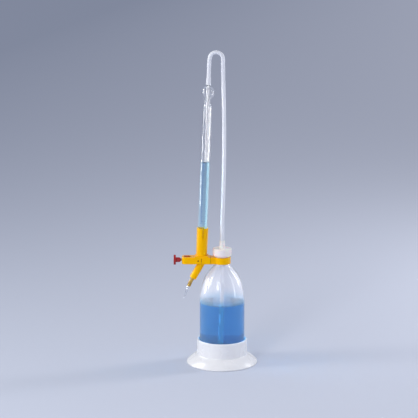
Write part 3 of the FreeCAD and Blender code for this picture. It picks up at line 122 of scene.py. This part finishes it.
def add_node(tree, kind, inputs=None, **settings):
    """Adds a node. Settings are its own properties, and inputs are values or the sockets that feed it."""
    node = tree.nodes.new(kind)
    for name, value in settings.items():
        setattr(node, name, value)
    for name, value in (inputs or {}).items():
        if isinstance(value, bpy.types.NodeSocket):
            tree.links.new(value, node.inputs[name])
        else:
            node.inputs[name].default_value = value
    return node


def new_finish(name, values):
    """A material with one principled shader: gives the material, its nodes and the shader."""
    material = bpy.data.materials.new(name)
    material.use_nodes = True
    tree = material.node_tree
    shader = tree.nodes["Principled BSDF"]
    for socket, value in values.items():
        shader.inputs[socket].default_value = value
    return material, tree, shader


def per_metre(millimetres):
    """The scale of a pattern whose features are that far apart."""
    return 1000 / millimetres


def mottle(tree, size, detail=2.0, stretch=(1, 1, 1)):
    """A soft random pattern fixed to the piece, with features of a size in millimetres."""
    place = add_node(tree, "ShaderNodeTexCoord")
    spread = add_node(tree, "ShaderNodeMapping", {"Vector": place.outputs["Object"], "Scale": stretch})
    pattern = add_node(tree, "ShaderNodeTexNoise", {
        "Vector": spread.outputs["Vector"],
        "Scale": per_metre(size),
        "Detail": detail,
    })
    return pattern.outputs["Fac"]


def spread_between(tree, pattern, low, high):
    """A pattern turned to values from low to high."""
    ranged = add_node(tree, "ShaderNodeMapRange", {
        "Value": pattern, "From Min": 0.3, "From Max": 0.7, "To Min": low, "To Max": high,
    })
    return ranged.outputs["Result"]


def bump(tree, shader, pattern, depth):
    """Waves in the surface, depth in millimetres."""
    waves = add_node(tree, "ShaderNodeBump", {"Height": pattern, "Strength": 1.0, "Distance": depth * MM})
    tree.links.new(waves.outputs["Normal"], shader.inputs["Normal"])


def tint(tree, shader, pattern, light, dark):
    """Colour that drifts between two shades."""
    mix = add_node(tree, "ShaderNodeMix", {"Factor": pattern}, data_type="RGBA")
    mix.inputs["A"].default_value = colour(light)
    mix.inputs["B"].default_value = colour(dark)
    tree.links.new(mix.outputs["Result"], shader.inputs["Base Color"])


def let_lamps_through(tree, shader, share):
    """Clear walls would leave all behind them in shade, so a share of the lamps' light goes straight on."""
    ray = add_node(tree, "ShaderNodeLightPath")
    solid = add_node(tree, "ShaderNodeMath", {
        0: ray.outputs["Is Shadow Ray"], 1: -share, 2: 1.0,
    }, operation="MULTIPLY_ADD")
    tree.links.new(solid.outputs[0], shader.inputs["Alpha"])


def moulded_plastic(name, light, dark, roughness, values):
    """Injection-moulded plastic: even colour with faint flow shades, and a moulded skin's shallow waves."""
    material, tree, shader = new_finish(name, {"IOR": 1.5, **values})
    flow = mottle(tree, 24, detail=3.0)
    tint(tree, shader, flow, light, dark)
    tree.links.new(spread_between(tree, flow, roughness * 0.85, roughness * 1.2), shader.inputs["Roughness"])
    # A moulded skin has waves about 2 mm apart and a few hundredths of a millimetre deep.
    bump(tree, shader, mottle(tree, 2.2), 0.02)
    return material


def clear_glass():
    """Drawn and blown borosilicate glass: quite clear, with the long faint waves of drawing."""
    material, tree, shader = new_finish("borosilicate_glass", {
        "Base Color": (1.0, 1.0, 1.0, 1.0),
        "IOR": 1.473,
        "Roughness": 0.0,
        "Transmission Weight": 1.0,
    })
    bump(tree, shader, mottle(tree, 9, stretch=(1, 1, 0.03)), 0.0004)
    let_lamps_through(tree, shader, 0.9)
    return material


# Over this height above its level the liquid's blue light fades out of the bottle's wall.
BLUE_GLOW = 15.0
FILM_EDGE = 2.0


def soft_bottle():
    """Blow-moulded low-density polyethylene: milky where dry, clearer and full of blue light where wet."""
    material, tree, shader = new_finish("bottle_polyethylene", {
        "IOR": 1.51,
        "Specular IOR Level": 0.1,
        "Coat Weight": 0.28,
        "Coat Roughness": 0.36,
    })
    cloud = mottle(tree, 30)
    tree.links.new(spread_between(tree, cloud, 0.1, 0.14), shader.inputs["Roughness"])
    bump(tree, shader, mottle(tree, 18, stretch=(1, 1, 0.4)), 0.04)
    place = add_node(tree, "ShaderNodeTexCoord")
    height = add_node(tree, "ShaderNodeSeparateXYZ", {"Vector": place.outputs["Object"]})

    def above_level(reach, low, high):
        """A value that goes from low at the liquid's level to high that many millimetres above it."""
        ranged = add_node(tree, "ShaderNodeMapRange", {
            "Value": height.outputs["Z"],
            "From Min": REAGENT_LEVEL * MM,
            "From Max": (REAGENT_LEVEL + reach) * MM,
            "To Min": low,
            "To Max": high,
        })
        return ranged.outputs["Result"]

    tree.links.new(above_level(FILM_EDGE, 0.93, 0.82), shader.inputs["Transmission Weight"])
    tint(tree, shader, above_level(BLUE_GLOW, 0.0, 1.0), "#A4DBF8", "#F9FAFF")
    let_lamps_through(tree, shader, 0.8)
    return material


def reagent():
    """Clear blue copper solution, deep blue through the bottle and light blue through the narrow burette."""
    material, tree, shader = new_finish("reagent_blue", {
        "Base Color": (1.0, 1.0, 1.0, 1.0),
        "IOR": 1.333,
        "Specular IOR Level": 0.25,
        "Roughness": 0.0,
        "Transmission Weight": 1.0,
    })
    # It takes half of the red light in 22 mm, half of the green in 80 mm and half of the blue in 300 mm.
    depth = add_node(tree, "ShaderNodeVolumeAbsorption", {
        "Color": (0.0, 0.725, 0.926, 1.0), "Density": 31.5,
    })
    tree.links.new(depth.outputs["Volume"], tree.nodes["Material Output"].inputs["Volume"])
    let_lamps_through(tree, shader, 0.95)
    return material


def milky_tube(name, light, dark, clearness, roughness, ior=1.5, waves=0.003):
    """Extruded tube: a milky wall that lets light through, with long faint draw lines."""
    material, tree, shader = new_finish(name, {
        "IOR": ior,
        "Transmission Weight": clearness,
        "Subsurface Weight": 0.3,
        "Subsurface Radius": (1.0, 1.0, 1.0),
        "Subsurface Scale": 0.002,
    })
    drift = mottle(tree, 5, stretch=(1, 1, 0.1))
    tint(tree, shader, drift, light, dark)
    tree.links.new(spread_between(tree, drift, roughness * 0.8, roughness * 1.2), shader.inputs["Roughness"])
    bump(tree, shader, drift, waves)
    return material


def turned_metal(name, code, roughness):
    """Turned metal: fine rings of the tool, 0.2 mm apart."""
    material, tree, shader = new_finish(name, {"Base Color": colour(code), "Metallic": 1.0})
    rings = mottle(tree, 0.6, stretch=(3, 1, 1))
    tree.links.new(spread_between(tree, rings, roughness * 0.7, roughness * 1.3), shader.inputs["Roughness"])
    bump(tree, shader, rings, 0.01)
    return material


def enamel(name, light, dark, clearness):
    """Colour fused onto the glass: opaque print, or opal glass that lets light through."""
    material, tree, shader = new_finish(name, {"IOR": 1.5, "Transmission Weight": clearness})
    wear = mottle(tree, 1.5, detail=4.0)
    tint(tree, shader, wear, light, dark)
    tree.links.new(spread_between(tree, wear, 0.3, 0.5), shader.inputs["Roughness"])
    return material


glass = clear_glass()
milky = milky_tube("hose_milky", "#EEF0F7", "#E2E5EF", 0.12, 0.6, waves=0.001)
blue_reagent = reagent()
steel = turned_metal("steel", "#8D8F94", 0.35)
blackened_steel = turned_metal("blackened_steel", "#3B3430", 0.4)
# Red light goes furthest in this plastic, and its gloss is lemon yellow.
yellow = moulded_plastic("moulded_yellow", "#FCBE00", "#FAB400", 0.3, {
    "Subsurface Weight": 0.2,
    "Subsurface Radius": (1.0, 0.25, 0.05),
    "Subsurface Scale": 0.004,
    "Specular Tint": (1.0, 0.85, 0.1, 1.0),
})

FINISHES = {
    "moulded_white": moulded_plastic("moulded_white", "#EFEFF1", "#E6E7EB", 0.25, {
        "Subsurface Weight": 0.25, "Subsurface Radius": (1.0, 1.0, 1.0), "Subsurface Scale": 0.004,
    }),
    "bottle_polyethylene": soft_bottle(),
    "reagent_blue": blue_reagent,
    "hose_milky": milky,
    "moulded_yellow": yellow,
    "steel": steel,
    "seal_rubber": moulded_plastic("seal_rubber", "#D6D2C9", "#CAC6BC", 0.6, {}),
    "borosilicate_glass": glass,
    "hose_amber": milky_tube("hose_amber", "#E6C66A", "#D9B24C", 0.55, 0.25),
    "insert_brass": turned_metal("insert_brass", "#C9A24A", 0.3),
    "bearing_white": moulded_plastic("bearing_white", "#EDEDEA", "#E2E2DE", 0.35, {}),
    "moulded_red": moulded_plastic("moulded_red", "#B01E1E", "#991618", 0.25, {}),
    "cap_polypropylene": moulded_plastic("cap_polypropylene", "#FBF3F2", "#F3E9E9", 0.35, {
        "Transmission Weight": 0.08, "Subsurface Weight": 0.3, "Subsurface Scale": 0.004,
    }),
}
# The dip tube stands in liquid, so it bends light less than in air.
clear_tube = milky_tube("dip_tube_clear", "#F7F8FC", "#ECEFF6", 0.6, 0.25, ior=1.2)
drawn_opal = milky_tube("drawn_opal_glass", "#FBFBFD", "#F2F3F8", 0.7, 0.08, waves=0.0006)
scale_enamel = enamel("scale_enamel", "#3A5FA3", "#486CAE", 0.0)
# Painted shade: a darker yellow for the strips that stand in for the shade in joints and recesses.
painted_gap_shade = moulded_plastic("painted_gap_shade", "#A8640A", "#985808", 0.6, {"Specular IOR Level": 0.1})
opal_glass = enamel("opal_glass", "#FBFCFF", "#F2F5FC", 0.4)
blue_opal_glass = enamel("blue_opal_glass", "#6F9BDD", "#6490D6", 0.6)

# These pieces look other than the rest of their material.
NODE_FINISHES = {"dip_tube": clear_tube, "fill_tube": drawn_opal, "guide_pins": blackened_steel}

for part in frame["record"]["subparts"]:
    finish = NODE_FINISHES.get(part["node"], FINISHES[part["material_slot"]])
    for place in nodes[part["node"]].material_slots:
        place.material = finish


# Meshes

UPRIGHT_TO_BURETTE = (
    Matrix.Translation(Vector(PINCH_POINT) * MM) @ Matrix.Rotation(math.radians(LEAN), 4, "Y")
)
# Edges that turn by more degrees than this stay sharp.
SHARP_EDGE = 40


def new_piece(name, mesh_data, finish, body="stand", leant=False, smooth=True):
    """Puts a mesh into the scene as a piece of the object that rides on a body."""
    piece = bpy.data.objects.new(name, mesh_data)
    bpy.context.scene.collection.objects.link(piece)
    if leant:
        mesh_data.transform(UPRIGHT_TO_BURETTE)
    if smooth:
        mesh_data.shade_smooth()
        mesh_data.set_sharp_from_angle(angle=math.radians(SHARP_EDGE))
    mesh_data.materials.append(finish)
    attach(piece, body)
    return piece


def mesh_from(name, work):
    """A mesh from a bmesh, with its normals outwards."""
    bmesh.ops.recalc_face_normals(work, faces=work.faces)
    data = bpy.data.meshes.new(name)
    work.to_mesh(data)
    work.free()
    return data


def on_drum(radius, turn, height):
    """The place at a radius and a height in millimetres, turned from the front about the upright axis."""
    return Vector((radius * math.sin(turn), -radius * math.cos(turn), height)) * MM


def lathe(name, profile, steps=96):
    """A closed solid of revolution round the upright axis. Profile: radius and height in millimetres."""
    work = bmesh.new()
    rings = []
    for radius, height in profile:
        turns = [2 * math.pi * i / steps for i in range(steps if radius else 1)]
        rings.append([work.verts.new(on_drum(radius, turn, height)) for turn in turns])
    pairs = list(zip(rings, rings[1:]))
    if len(rings[0]) > 1:
        pairs.append((rings[-1], rings[0]))
    for low, high in pairs:
        for i in range(steps):
            k = i + 1
            corners = [low[i % len(low)], low[k % len(low)], high[k % len(high)], high[i % len(high)]]
            work.faces.new(list(dict.fromkeys(corners)))
    return mesh_from(name, work)


def arc_points(centre, radius, start, end, steps):
    """Points of an arc in the profile's plane, angles in degrees from the radial direction."""
    points = []
    for i in range(steps + 1):
        turn = math.radians(start + (end - start) * i / steps)
        points.append((centre[0] + radius * math.cos(turn), centre[1] + radius * math.sin(turn)))
    return points


def join_rows(work, rows, closed=False):
    """Faces between rows of four points each, and over both ends where the strip isn't closed."""
    after = rows[1:] + rows[:1] if closed else rows[1:]
    for first, second in zip(rows, after):
        for i in range(4):
            k = (i + 1) % 4
            work.faces.new([first[i], first[k], second[k], second[i]])
    if not closed:
        work.faces.new(rows[0])
        work.faces.new(reversed(rows[-1]))


def curved_band(work, inner, outer, low, high, start, end, step=6):
    """A strip of a tube's wall: radii and heights in millimetres, angles in degrees from the front."""
    steps = max(1, math.ceil(abs(end - start) / step))
    corners = [(inner, low), (outer, low), (outer, high), (inner, high)]
    rows = []
    for i in range(steps + 1):
        turn = math.radians(start + (end - start) * i / steps)
        rows.append([work.verts.new(on_drum(radius, turn, height)) for radius, height in corners])
    join_rows(work, rows)


def helix_ridge(name, root, crest, width, start, end, pitch, sunk=0.2, steps=36):
    """A thread's ridge round the upright axis, in millimetres, tapered over its first and last quarter turn."""
    work = bmesh.new()
    count = math.ceil((end - start) / pitch * steps)
    taper = steps / 4
    rows = []
    for i in range(count + 1):
        turn = 2 * math.pi * i / steps
        height = start + pitch * i / steps
        top = root + (crest - root) * min(1.0, i / taper, (count - i) / taper)
        corners = [
            (root - sunk, height - width / 2),
            (top, height - width / 6),
            (top, height + width / 6),
            (root - sunk, height + width / 2),
        ]
        rows.append([work.verts.new(on_drum(radius, turn, up)) for radius, up in corners])
    join_rows(work, rows)
    return mesh_from(name, work)


# Riser hose

def make_riser():
    """The free hose from the cap over the bend to the burette, and its stretched end on the glass inlet."""
    line = bpy.data.curves.new("riser_tube", "CURVE")
    line.dimensions = "3D"
    line.bevel_depth = HOSE_RADIUS * MM
    line.bevel_resolution = 8
    line.resolution_u = 24
    line.use_fill_caps = True
    spline = line.splines.new("NURBS")
    spline.points.add(len(RISER_ROUTE) - 1)
    for point, (x, z) in zip(spline.points, RISER_ROUTE):
        point.co = (x * MM, 0, z * MM, 1)
    spline.order_u = 3
    spline.use_endpoint_u = True
    line.materials.append(milky)
    tube = bpy.data.objects.new("riser_tube", line)
    bpy.context.scene.collection.objects.link(tube)
    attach(tube, "stand")
    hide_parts("riser_hose")
    swell = [
        (INLET_RADIUS, SWELL_BOTTOM),
        (SWELL_RADIUS - 0.5, SWELL_BOTTOM),
        (SWELL_RADIUS - 0.15, SWELL_BOTTOM + 0.15),
        (SWELL_RADIUS, SWELL_BOTTOM + 0.5),
        (SWELL_RADIUS, INLET_TOP - 3),
        (SWELL_RADIUS - 0.1, INLET_TOP - 1),
        (HOSE_RADIUS + 0.3, INLET_TOP + 1),
        (HOSE_RADIUS + 0.05, SWELL_TOP + 2),
        (HOSE_RADIUS - 0.8, SWELL_TOP + 2),
        (INLET_RADIUS, INLET_TOP),
    ]
    sleeve = new_piece("riser_sleeve", lathe("riser_sleeve", swell), milky, leant=True)


make_riser()


# Reagent

# Each liquid reaches a little into the wall that holds it, so that no air shows between them.
WALL_OVERLAP = 0.05
BOTTLE_MENISCUS = {"rise": 1.6, "reach": 4.5}
BURETTE_MENISCUS = {"rise": 1.9, "reach": 4.0}
# The wall runs straight up to this far under the level.
UNDER_LEVEL = 3.0


def meniscus(radius, level, rise, reach, steps=8):
    """The liquid's upper edge from the wall inwards: it climbs the wall by rise within reach."""
    points = []
    for i in range(steps + 1):
        share = i / steps
        points.append((radius - reach * share, level + rise * (1 - share) ** 2.5))
    return points


def make_reagents():
    """The blue solution in the bottle and in the burette."""
    wall = BOTTLE_INSIDE + WALL_OVERLAP
    corner = (BOTTLE_INSIDE - BOTTLE_CORNER, BOTTLE_FLOOR + BOTTLE_CORNER)
    profile = [(0, BOTTLE_FLOOR - WALL_OVERLAP)]
    profile += arc_points(corner, BOTTLE_CORNER + WALL_OVERLAP, -90, 0, 8)
    profile += [(wall, REAGENT_LEVEL - UNDER_LEVEL)]
    profile += meniscus(wall, REAGENT_LEVEL, **BOTTLE_MENISCUS)
    profile += [(0, REAGENT_LEVEL)]
    piece = new_piece("bottle_reagent", lathe("bottle_reagent", profile, 160), blue_reagent)
    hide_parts("reagent_in_bottle")
    profile = [
        (0, STEM_BOTTOM),
        (STEM_BORE + WALL_OVERLAP, STEM_BOTTOM),
        (STEM_BORE + WALL_OVERLAP, CONE_LOW),
        (GLASS_INSIDE + WALL_OVERLAP, CONE_HIGH + WALL_OVERLAP),
    ]
    profile += meniscus(GLASS_INSIDE + WALL_OVERLAP, ZERO_LEVEL, **BURETTE_MENISCUS)
    profile += [(CAPILLARY_RADIUS, ZERO_LEVEL), (0, ZERO_LEVEL)]
    piece = new_piece(
        "burette_reagent", lathe("burette_reagent", profile), blue_reagent, leant=True,
    )
    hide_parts("reagent_in_burette")


make_reagents()


# Return spring


def shorten_spring():
    """The return spring gets a mesh of its own."""
    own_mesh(nodes["return_spring"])


shorten_spring()


# Printed scale

SCALE_VOLUME = 25
PER_MILLILITRE = 1000 / (math.pi * GLASS_INSIDE ** 2)
# The lines are drawn a little wider than real ones where they are to show.
LINE_WIDTHS = {"tenth": 0.15, "half": 0.2, "whole": 0.5}
PRINT_THICKNESS = 0.04
# The print is fused this deep into the glass.
PRINT_SUNK = 0.02
# Angles round the glass are in degrees from the front.
TICK_START = -34.0
TICK_ENDS = {"tenth": -17.0, "half": -6.0, "whole": 12.0}
NUMBER_START = 18.0
NUMBER_HEIGHT = 3.2
STRIPE_BOTTOM = 24.0
STRIPE_TOP = 313.0
STRIPE_MIDDLE = 138.0
WHITE_HALF = 30.0
BLUE_HALF = 4.0


def make_scale():
    """Lines for each tenth of a millilitre, numbers at whole ones, and the reading stripe at the back."""
    inner = GLASS_RADIUS - PRINT_SUNK
    outer = GLASS_RADIUS + PRINT_THICKNESS
    work = bmesh.new()
    for tenth in range(SCALE_VOLUME * 10 + 1):
        kind = "whole" if tenth % 10 == 0 else "half" if tenth % 5 == 0 else "tenth"
        height = ZERO_LEVEL - tenth * PER_MILLILITRE / 10
        half = LINE_WIDTHS[kind] / 2
        curved_band(work, inner, outer, height - half, height + half, TICK_START, TICK_ENDS[kind])
    new_piece("scale_lines", mesh_from("scale_lines", work), scale_enamel, leant=True, smooth=False)
    make_stripe("stripe_white", opal_glass, inner, outer, WHITE_HALF)
    make_stripe("stripe_blue", blue_opal_glass, outer - PRINT_SUNK / 2, outer + PRINT_THICKNESS, BLUE_HALF)
    make_numbers(outer)


def make_stripe(name, finish, inner, outer, half):
    """A stripe along the back of the glass."""
    work = bmesh.new()
    curved_band(work, inner, outer, STRIPE_BOTTOM, STRIPE_TOP, STRIPE_MIDDLE - half, STRIPE_MIDDLE + half)
    new_piece(name, mesh_from(name, work), finish, leant=True)


def make_numbers(radius):
    """The numbers 0 to 25, bent round the glass."""
    work = bmesh.new()
    for number in range(SCALE_VOLUME + 1):
        text = bpy.data.curves.new("number", "FONT")
        text.body = str(number)
        text.size = NUMBER_HEIGHT * MM
        text.align_y = "CENTER"
        text.extrude = PRINT_THICKNESS / 2 * MM
        text.resolution_u = 3
        word = bpy.data.objects.new("number", text)
        bpy.context.scene.collection.objects.link(word)
        bpy.context.view_layer.update()
        flat = bpy.data.meshes.new_from_object(word.evaluated_get(bpy.context.evaluated_depsgraph_get()))
        height = (ZERO_LEVEL - number * PER_MILLILITRE) * MM
        for vertex in flat.vertices:
            across, up, out = vertex.co
            turn = math.radians(NUMBER_START) + across / (radius * MM)
            far = radius * MM + out
            vertex.co = (far * math.sin(turn), -far * math.cos(turn), height + up)
        work.from_mesh(flat)
        bpy.data.objects.remove(word)
        bpy.data.curves.remove(text)
        bpy.data.meshes.remove(flat)
    new_piece("scale_numbers", mesh_from("scale_numbers", work), scale_enamel, leant=True, smooth=False)


make_scale()


# Threads

NECK_THREAD = {"root": 13.3, "crest": 13.95, "width": 2.0, "start": 224.5, "end": 234.5, "pitch": 4.0}
# Where the screw's thread starts and ends is measured from the bottle's axis.
SCREW_THREAD = {"root": 2.5, "crest": 2.85, "width": 0.7, "start": 82.9, "end": 84.5, "pitch": 0.8}


def make_threads():
    """The thread on the bottle's mouth, and the screw's between the knob and the arm."""
    neck = helix_ridge("neck_thread", **NECK_THREAD)
    new_piece("neck_thread", neck, FINISHES["bottle_polyethylene"])
    thread = helix_ridge("screw_thread", **SCREW_THREAD)
    onto_screw = Matrix.Translation((0, 0, SCREW_AXIS * MM)) @ Matrix.Rotation(math.radians(-90), 4, "Y")
    thread.transform(onto_screw)
    new_piece("screw_thread", thread, steel, body="screw")


make_threads()


# Joint lines of painted shade

# They stand a hair proud of the faces that they lie on.
PROUD = 0.05
SUNK = 0.3
EAR = {"end": -24.0, "half_depth": 11.0, "bottom": 208.6, "top": 222.2}
EAR_LINE = 0.6
GUIDE_RADIUS = 7.2
GUIDE_SLANT = math.radians(30)
# The guide's axis turns off the burette's at this place: x and z.
GUIDE_BEND = (-42.82, 207.81)
PIN_PLACE = (-48.9, 215.8)
# Radii and distances from the arm's middle of the sleeve of painted shade that lines each pin's recess.
PIN_SLEEVE = [(1.0, 12.9), (1.7, 12.9), (1.7, 13.03), (1.0, 13.03)]


def closed_strip(name, rows):
    """A closed strip of painted shade through rows of four points each, in millimetres."""
    work = bmesh.new()
    join_rows(work, [[work.verts.new(Vector(point) * MM) for point in row] for row in rows], closed=True)
    return new_piece(name, mesh_from(name, work), painted_gap_shade)


def make_ear_line():
    """A line of painted shade where the ring's ear meets the arm."""
    near, far = EAR["end"], EAR["end"] + EAR_LINE
    rows = []
    for side, level, up in ((-1, "bottom", -1), (1, "bottom", -1), (1, "top", 1), (-1, "top", 1)):
        y, z = side * EAR["half_depth"], EAR[level]
        outer_y, outer_z = y + side * PROUD, z + up * PROUD
        inner_y, inner_z = y - side * SUNK, z - up * SUNK
        rows.append([
            (near, outer_y, outer_z),
            (far, outer_y, outer_z),
            (far, inner_y, inner_z),
            (near, inner_y, inner_z),
        ])
    closed_strip("ear_painted_shade_line", rows)


def make_guide_line():
    """A ring of painted shade where the outlet guide leaves the arm's underside."""
    middle = GUIDE_BEND[0] - (GUIDE_BEND[1] - ARM_BOTTOM) * math.tan(GUIDE_SLANT)
    section = [(0.35, -0.1), (PROUD, 0.7), (-SUNK, 0.6), (-SUNK, -0.1)]
    rows = []
    for i in range(64):
        turn = 2 * math.pi * i / 64
        row = []
        for out, below in section:
            radius = GUIDE_RADIUS + out
            x = middle - below * math.tan(GUIDE_SLANT) + radius * math.cos(turn) / math.cos(GUIDE_SLANT)
            row.append((x, radius * math.sin(turn), ARM_BOTTOM - below))
        rows.append(row)
    closed_strip("guide_painted_shade_line", rows)


def make_pin_recesses():
    """Rings of painted shade round the guide pins, in the arm's front and back."""
    for name, side in (("pin_recess_painted_shade_front", -1), ("pin_recess_painted_shade_back", 1)):
        rows = []
        for i in range(32):
            turn = 2 * math.pi * i / 32
            rows.append([
                (radius * math.cos(turn) + PIN_PLACE[0], side * out, radius * math.sin(turn) + PIN_PLACE[1])
                for radius, out in PIN_SLEEVE
            ])
        closed_strip(name, rows)


make_ear_line()
make_guide_line()
make_pin_recesses()


# Studio

LAMP_AIM = Vector((0, 0, 0.3))


def make_floor():
    """A wide pale floor that runs on behind the object as its backdrop, with painted shade that makes it darker
    to the left and far away.
    """
    work = bmesh.new()
    bmesh.ops.create_circle(work, cap_ends=True, segments=96, radius=16)
    data = bpy.data.meshes.new("floor")
    work.to_mesh(data)
    work.free()
    floor = bpy.data.objects.new("floor", data)
    bpy.context.scene.collection.objects.link(floor)
    material, tree, shader = new_finish("floor_paper", {"Roughness": 0.9, "Specular IOR Level": 0.0})
    place = add_node(tree, "ShaderNodeTexCoord")
    # Painted light and shade: the paper's colour gets lighter to the right and towards the camera.
    way = add_node(tree, "ShaderNodeVectorMath", {
        0: place.outputs["Object"], 1: (0.42, -0.06, 0.0),
    }, operation="DOT_PRODUCT")
    shade = add_node(tree, "ShaderNodeMapRange", {
        "Value": way.outputs["Value"], "From Min": -0.9, "From Max": 0.5,
    })
    tint(tree, shader, shade.outputs["Result"], "#ABB3C5", "#D6DBE9")
    data.materials.append(material)


def make_lamp(name, azimuth, distance, height, width, tall, power, only_gloss=False, hue="#FFFFFF"):
    """A softbox that faces the object, in metres and watts. Azimuth 0 is in front and 90 on the right."""
    lamp = bpy.data.lights.new(name, "AREA")
    lamp.shape = "RECTANGLE"
    lamp.size = width
    lamp.size_y = tall
    lamp.energy = power
    lamp.color = colour(hue)[:3]
    holder = bpy.data.objects.new(name, lamp)
    turn = math.radians(azimuth)
    holder.location = (distance * math.sin(turn), -distance * math.cos(turn), height)
    aim = LAMP_AIM - holder.location
    holder.rotation_euler = aim.to_track_quat("-Z", "Y").to_euler()
    holder.visible_camera = False
    holder.visible_diffuse = not only_gloss
    holder.visible_transmission = only_gloss
    bpy.context.scene.collection.objects.link(holder)


def make_world():
    """Even studio light; the background itself is a plain grey blue for the camera, gloss and glass."""
    world = bpy.data.worlds.new("studio")
    world.use_nodes = True
    bpy.context.scene.world = world
    tree = world.node_tree
    light = tree.nodes["Background"]
    light.inputs["Color"].default_value = colour("#F3F5FF")
    light.inputs["Strength"].default_value = 0.6
    seen = add_node(tree, "ShaderNodeBackground", {"Color": colour("#A9B1C4"), "Strength": 1.0})
    ray = add_node(tree, "ShaderNodeLightPath")
    first = add_node(tree, "ShaderNodeMath", {
        0: ray.outputs["Is Camera Ray"], 1: ray.outputs["Is Glossy Ray"],
    }, operation="MAXIMUM")
    both = add_node(tree, "ShaderNodeMath", {
        0: first.outputs[0], 1: ray.outputs["Is Transmission Ray"],
    }, operation="MAXIMUM")
    mixed = add_node(tree, "ShaderNodeMixShader", {
        0: both.outputs[0], 1: light.outputs[0], 2: seen.outputs[0],
    })
    tree.links.new(mixed.outputs[0], tree.nodes["World Output"].inputs["Surface"])


make_floor()
make_lamp("left_softbox", -82, 1.9, 0.95, 0.5, 1.0, 14, hue="#FFFDF4")
make_lamp("front_softbox", -26, 1.9, 0.95, 0.4, 0.9, 13)
make_lamp("right_softbox", 112, 1.9, 0.9, 0.4, 1.2, 17)
# Narrow strips that show only as the bright lines in glass and gloss.
make_lamp("left_strip", -104, 1.3, 0.75, 0.2, 1.4, 26, only_gloss=True)
make_lamp("right_strip", 70, 1.3, 0.75, 0.1, 1.4, 4, only_gloss=True)
make_world()
bpy.context.scene.view_settings.view_transform = "Standard"
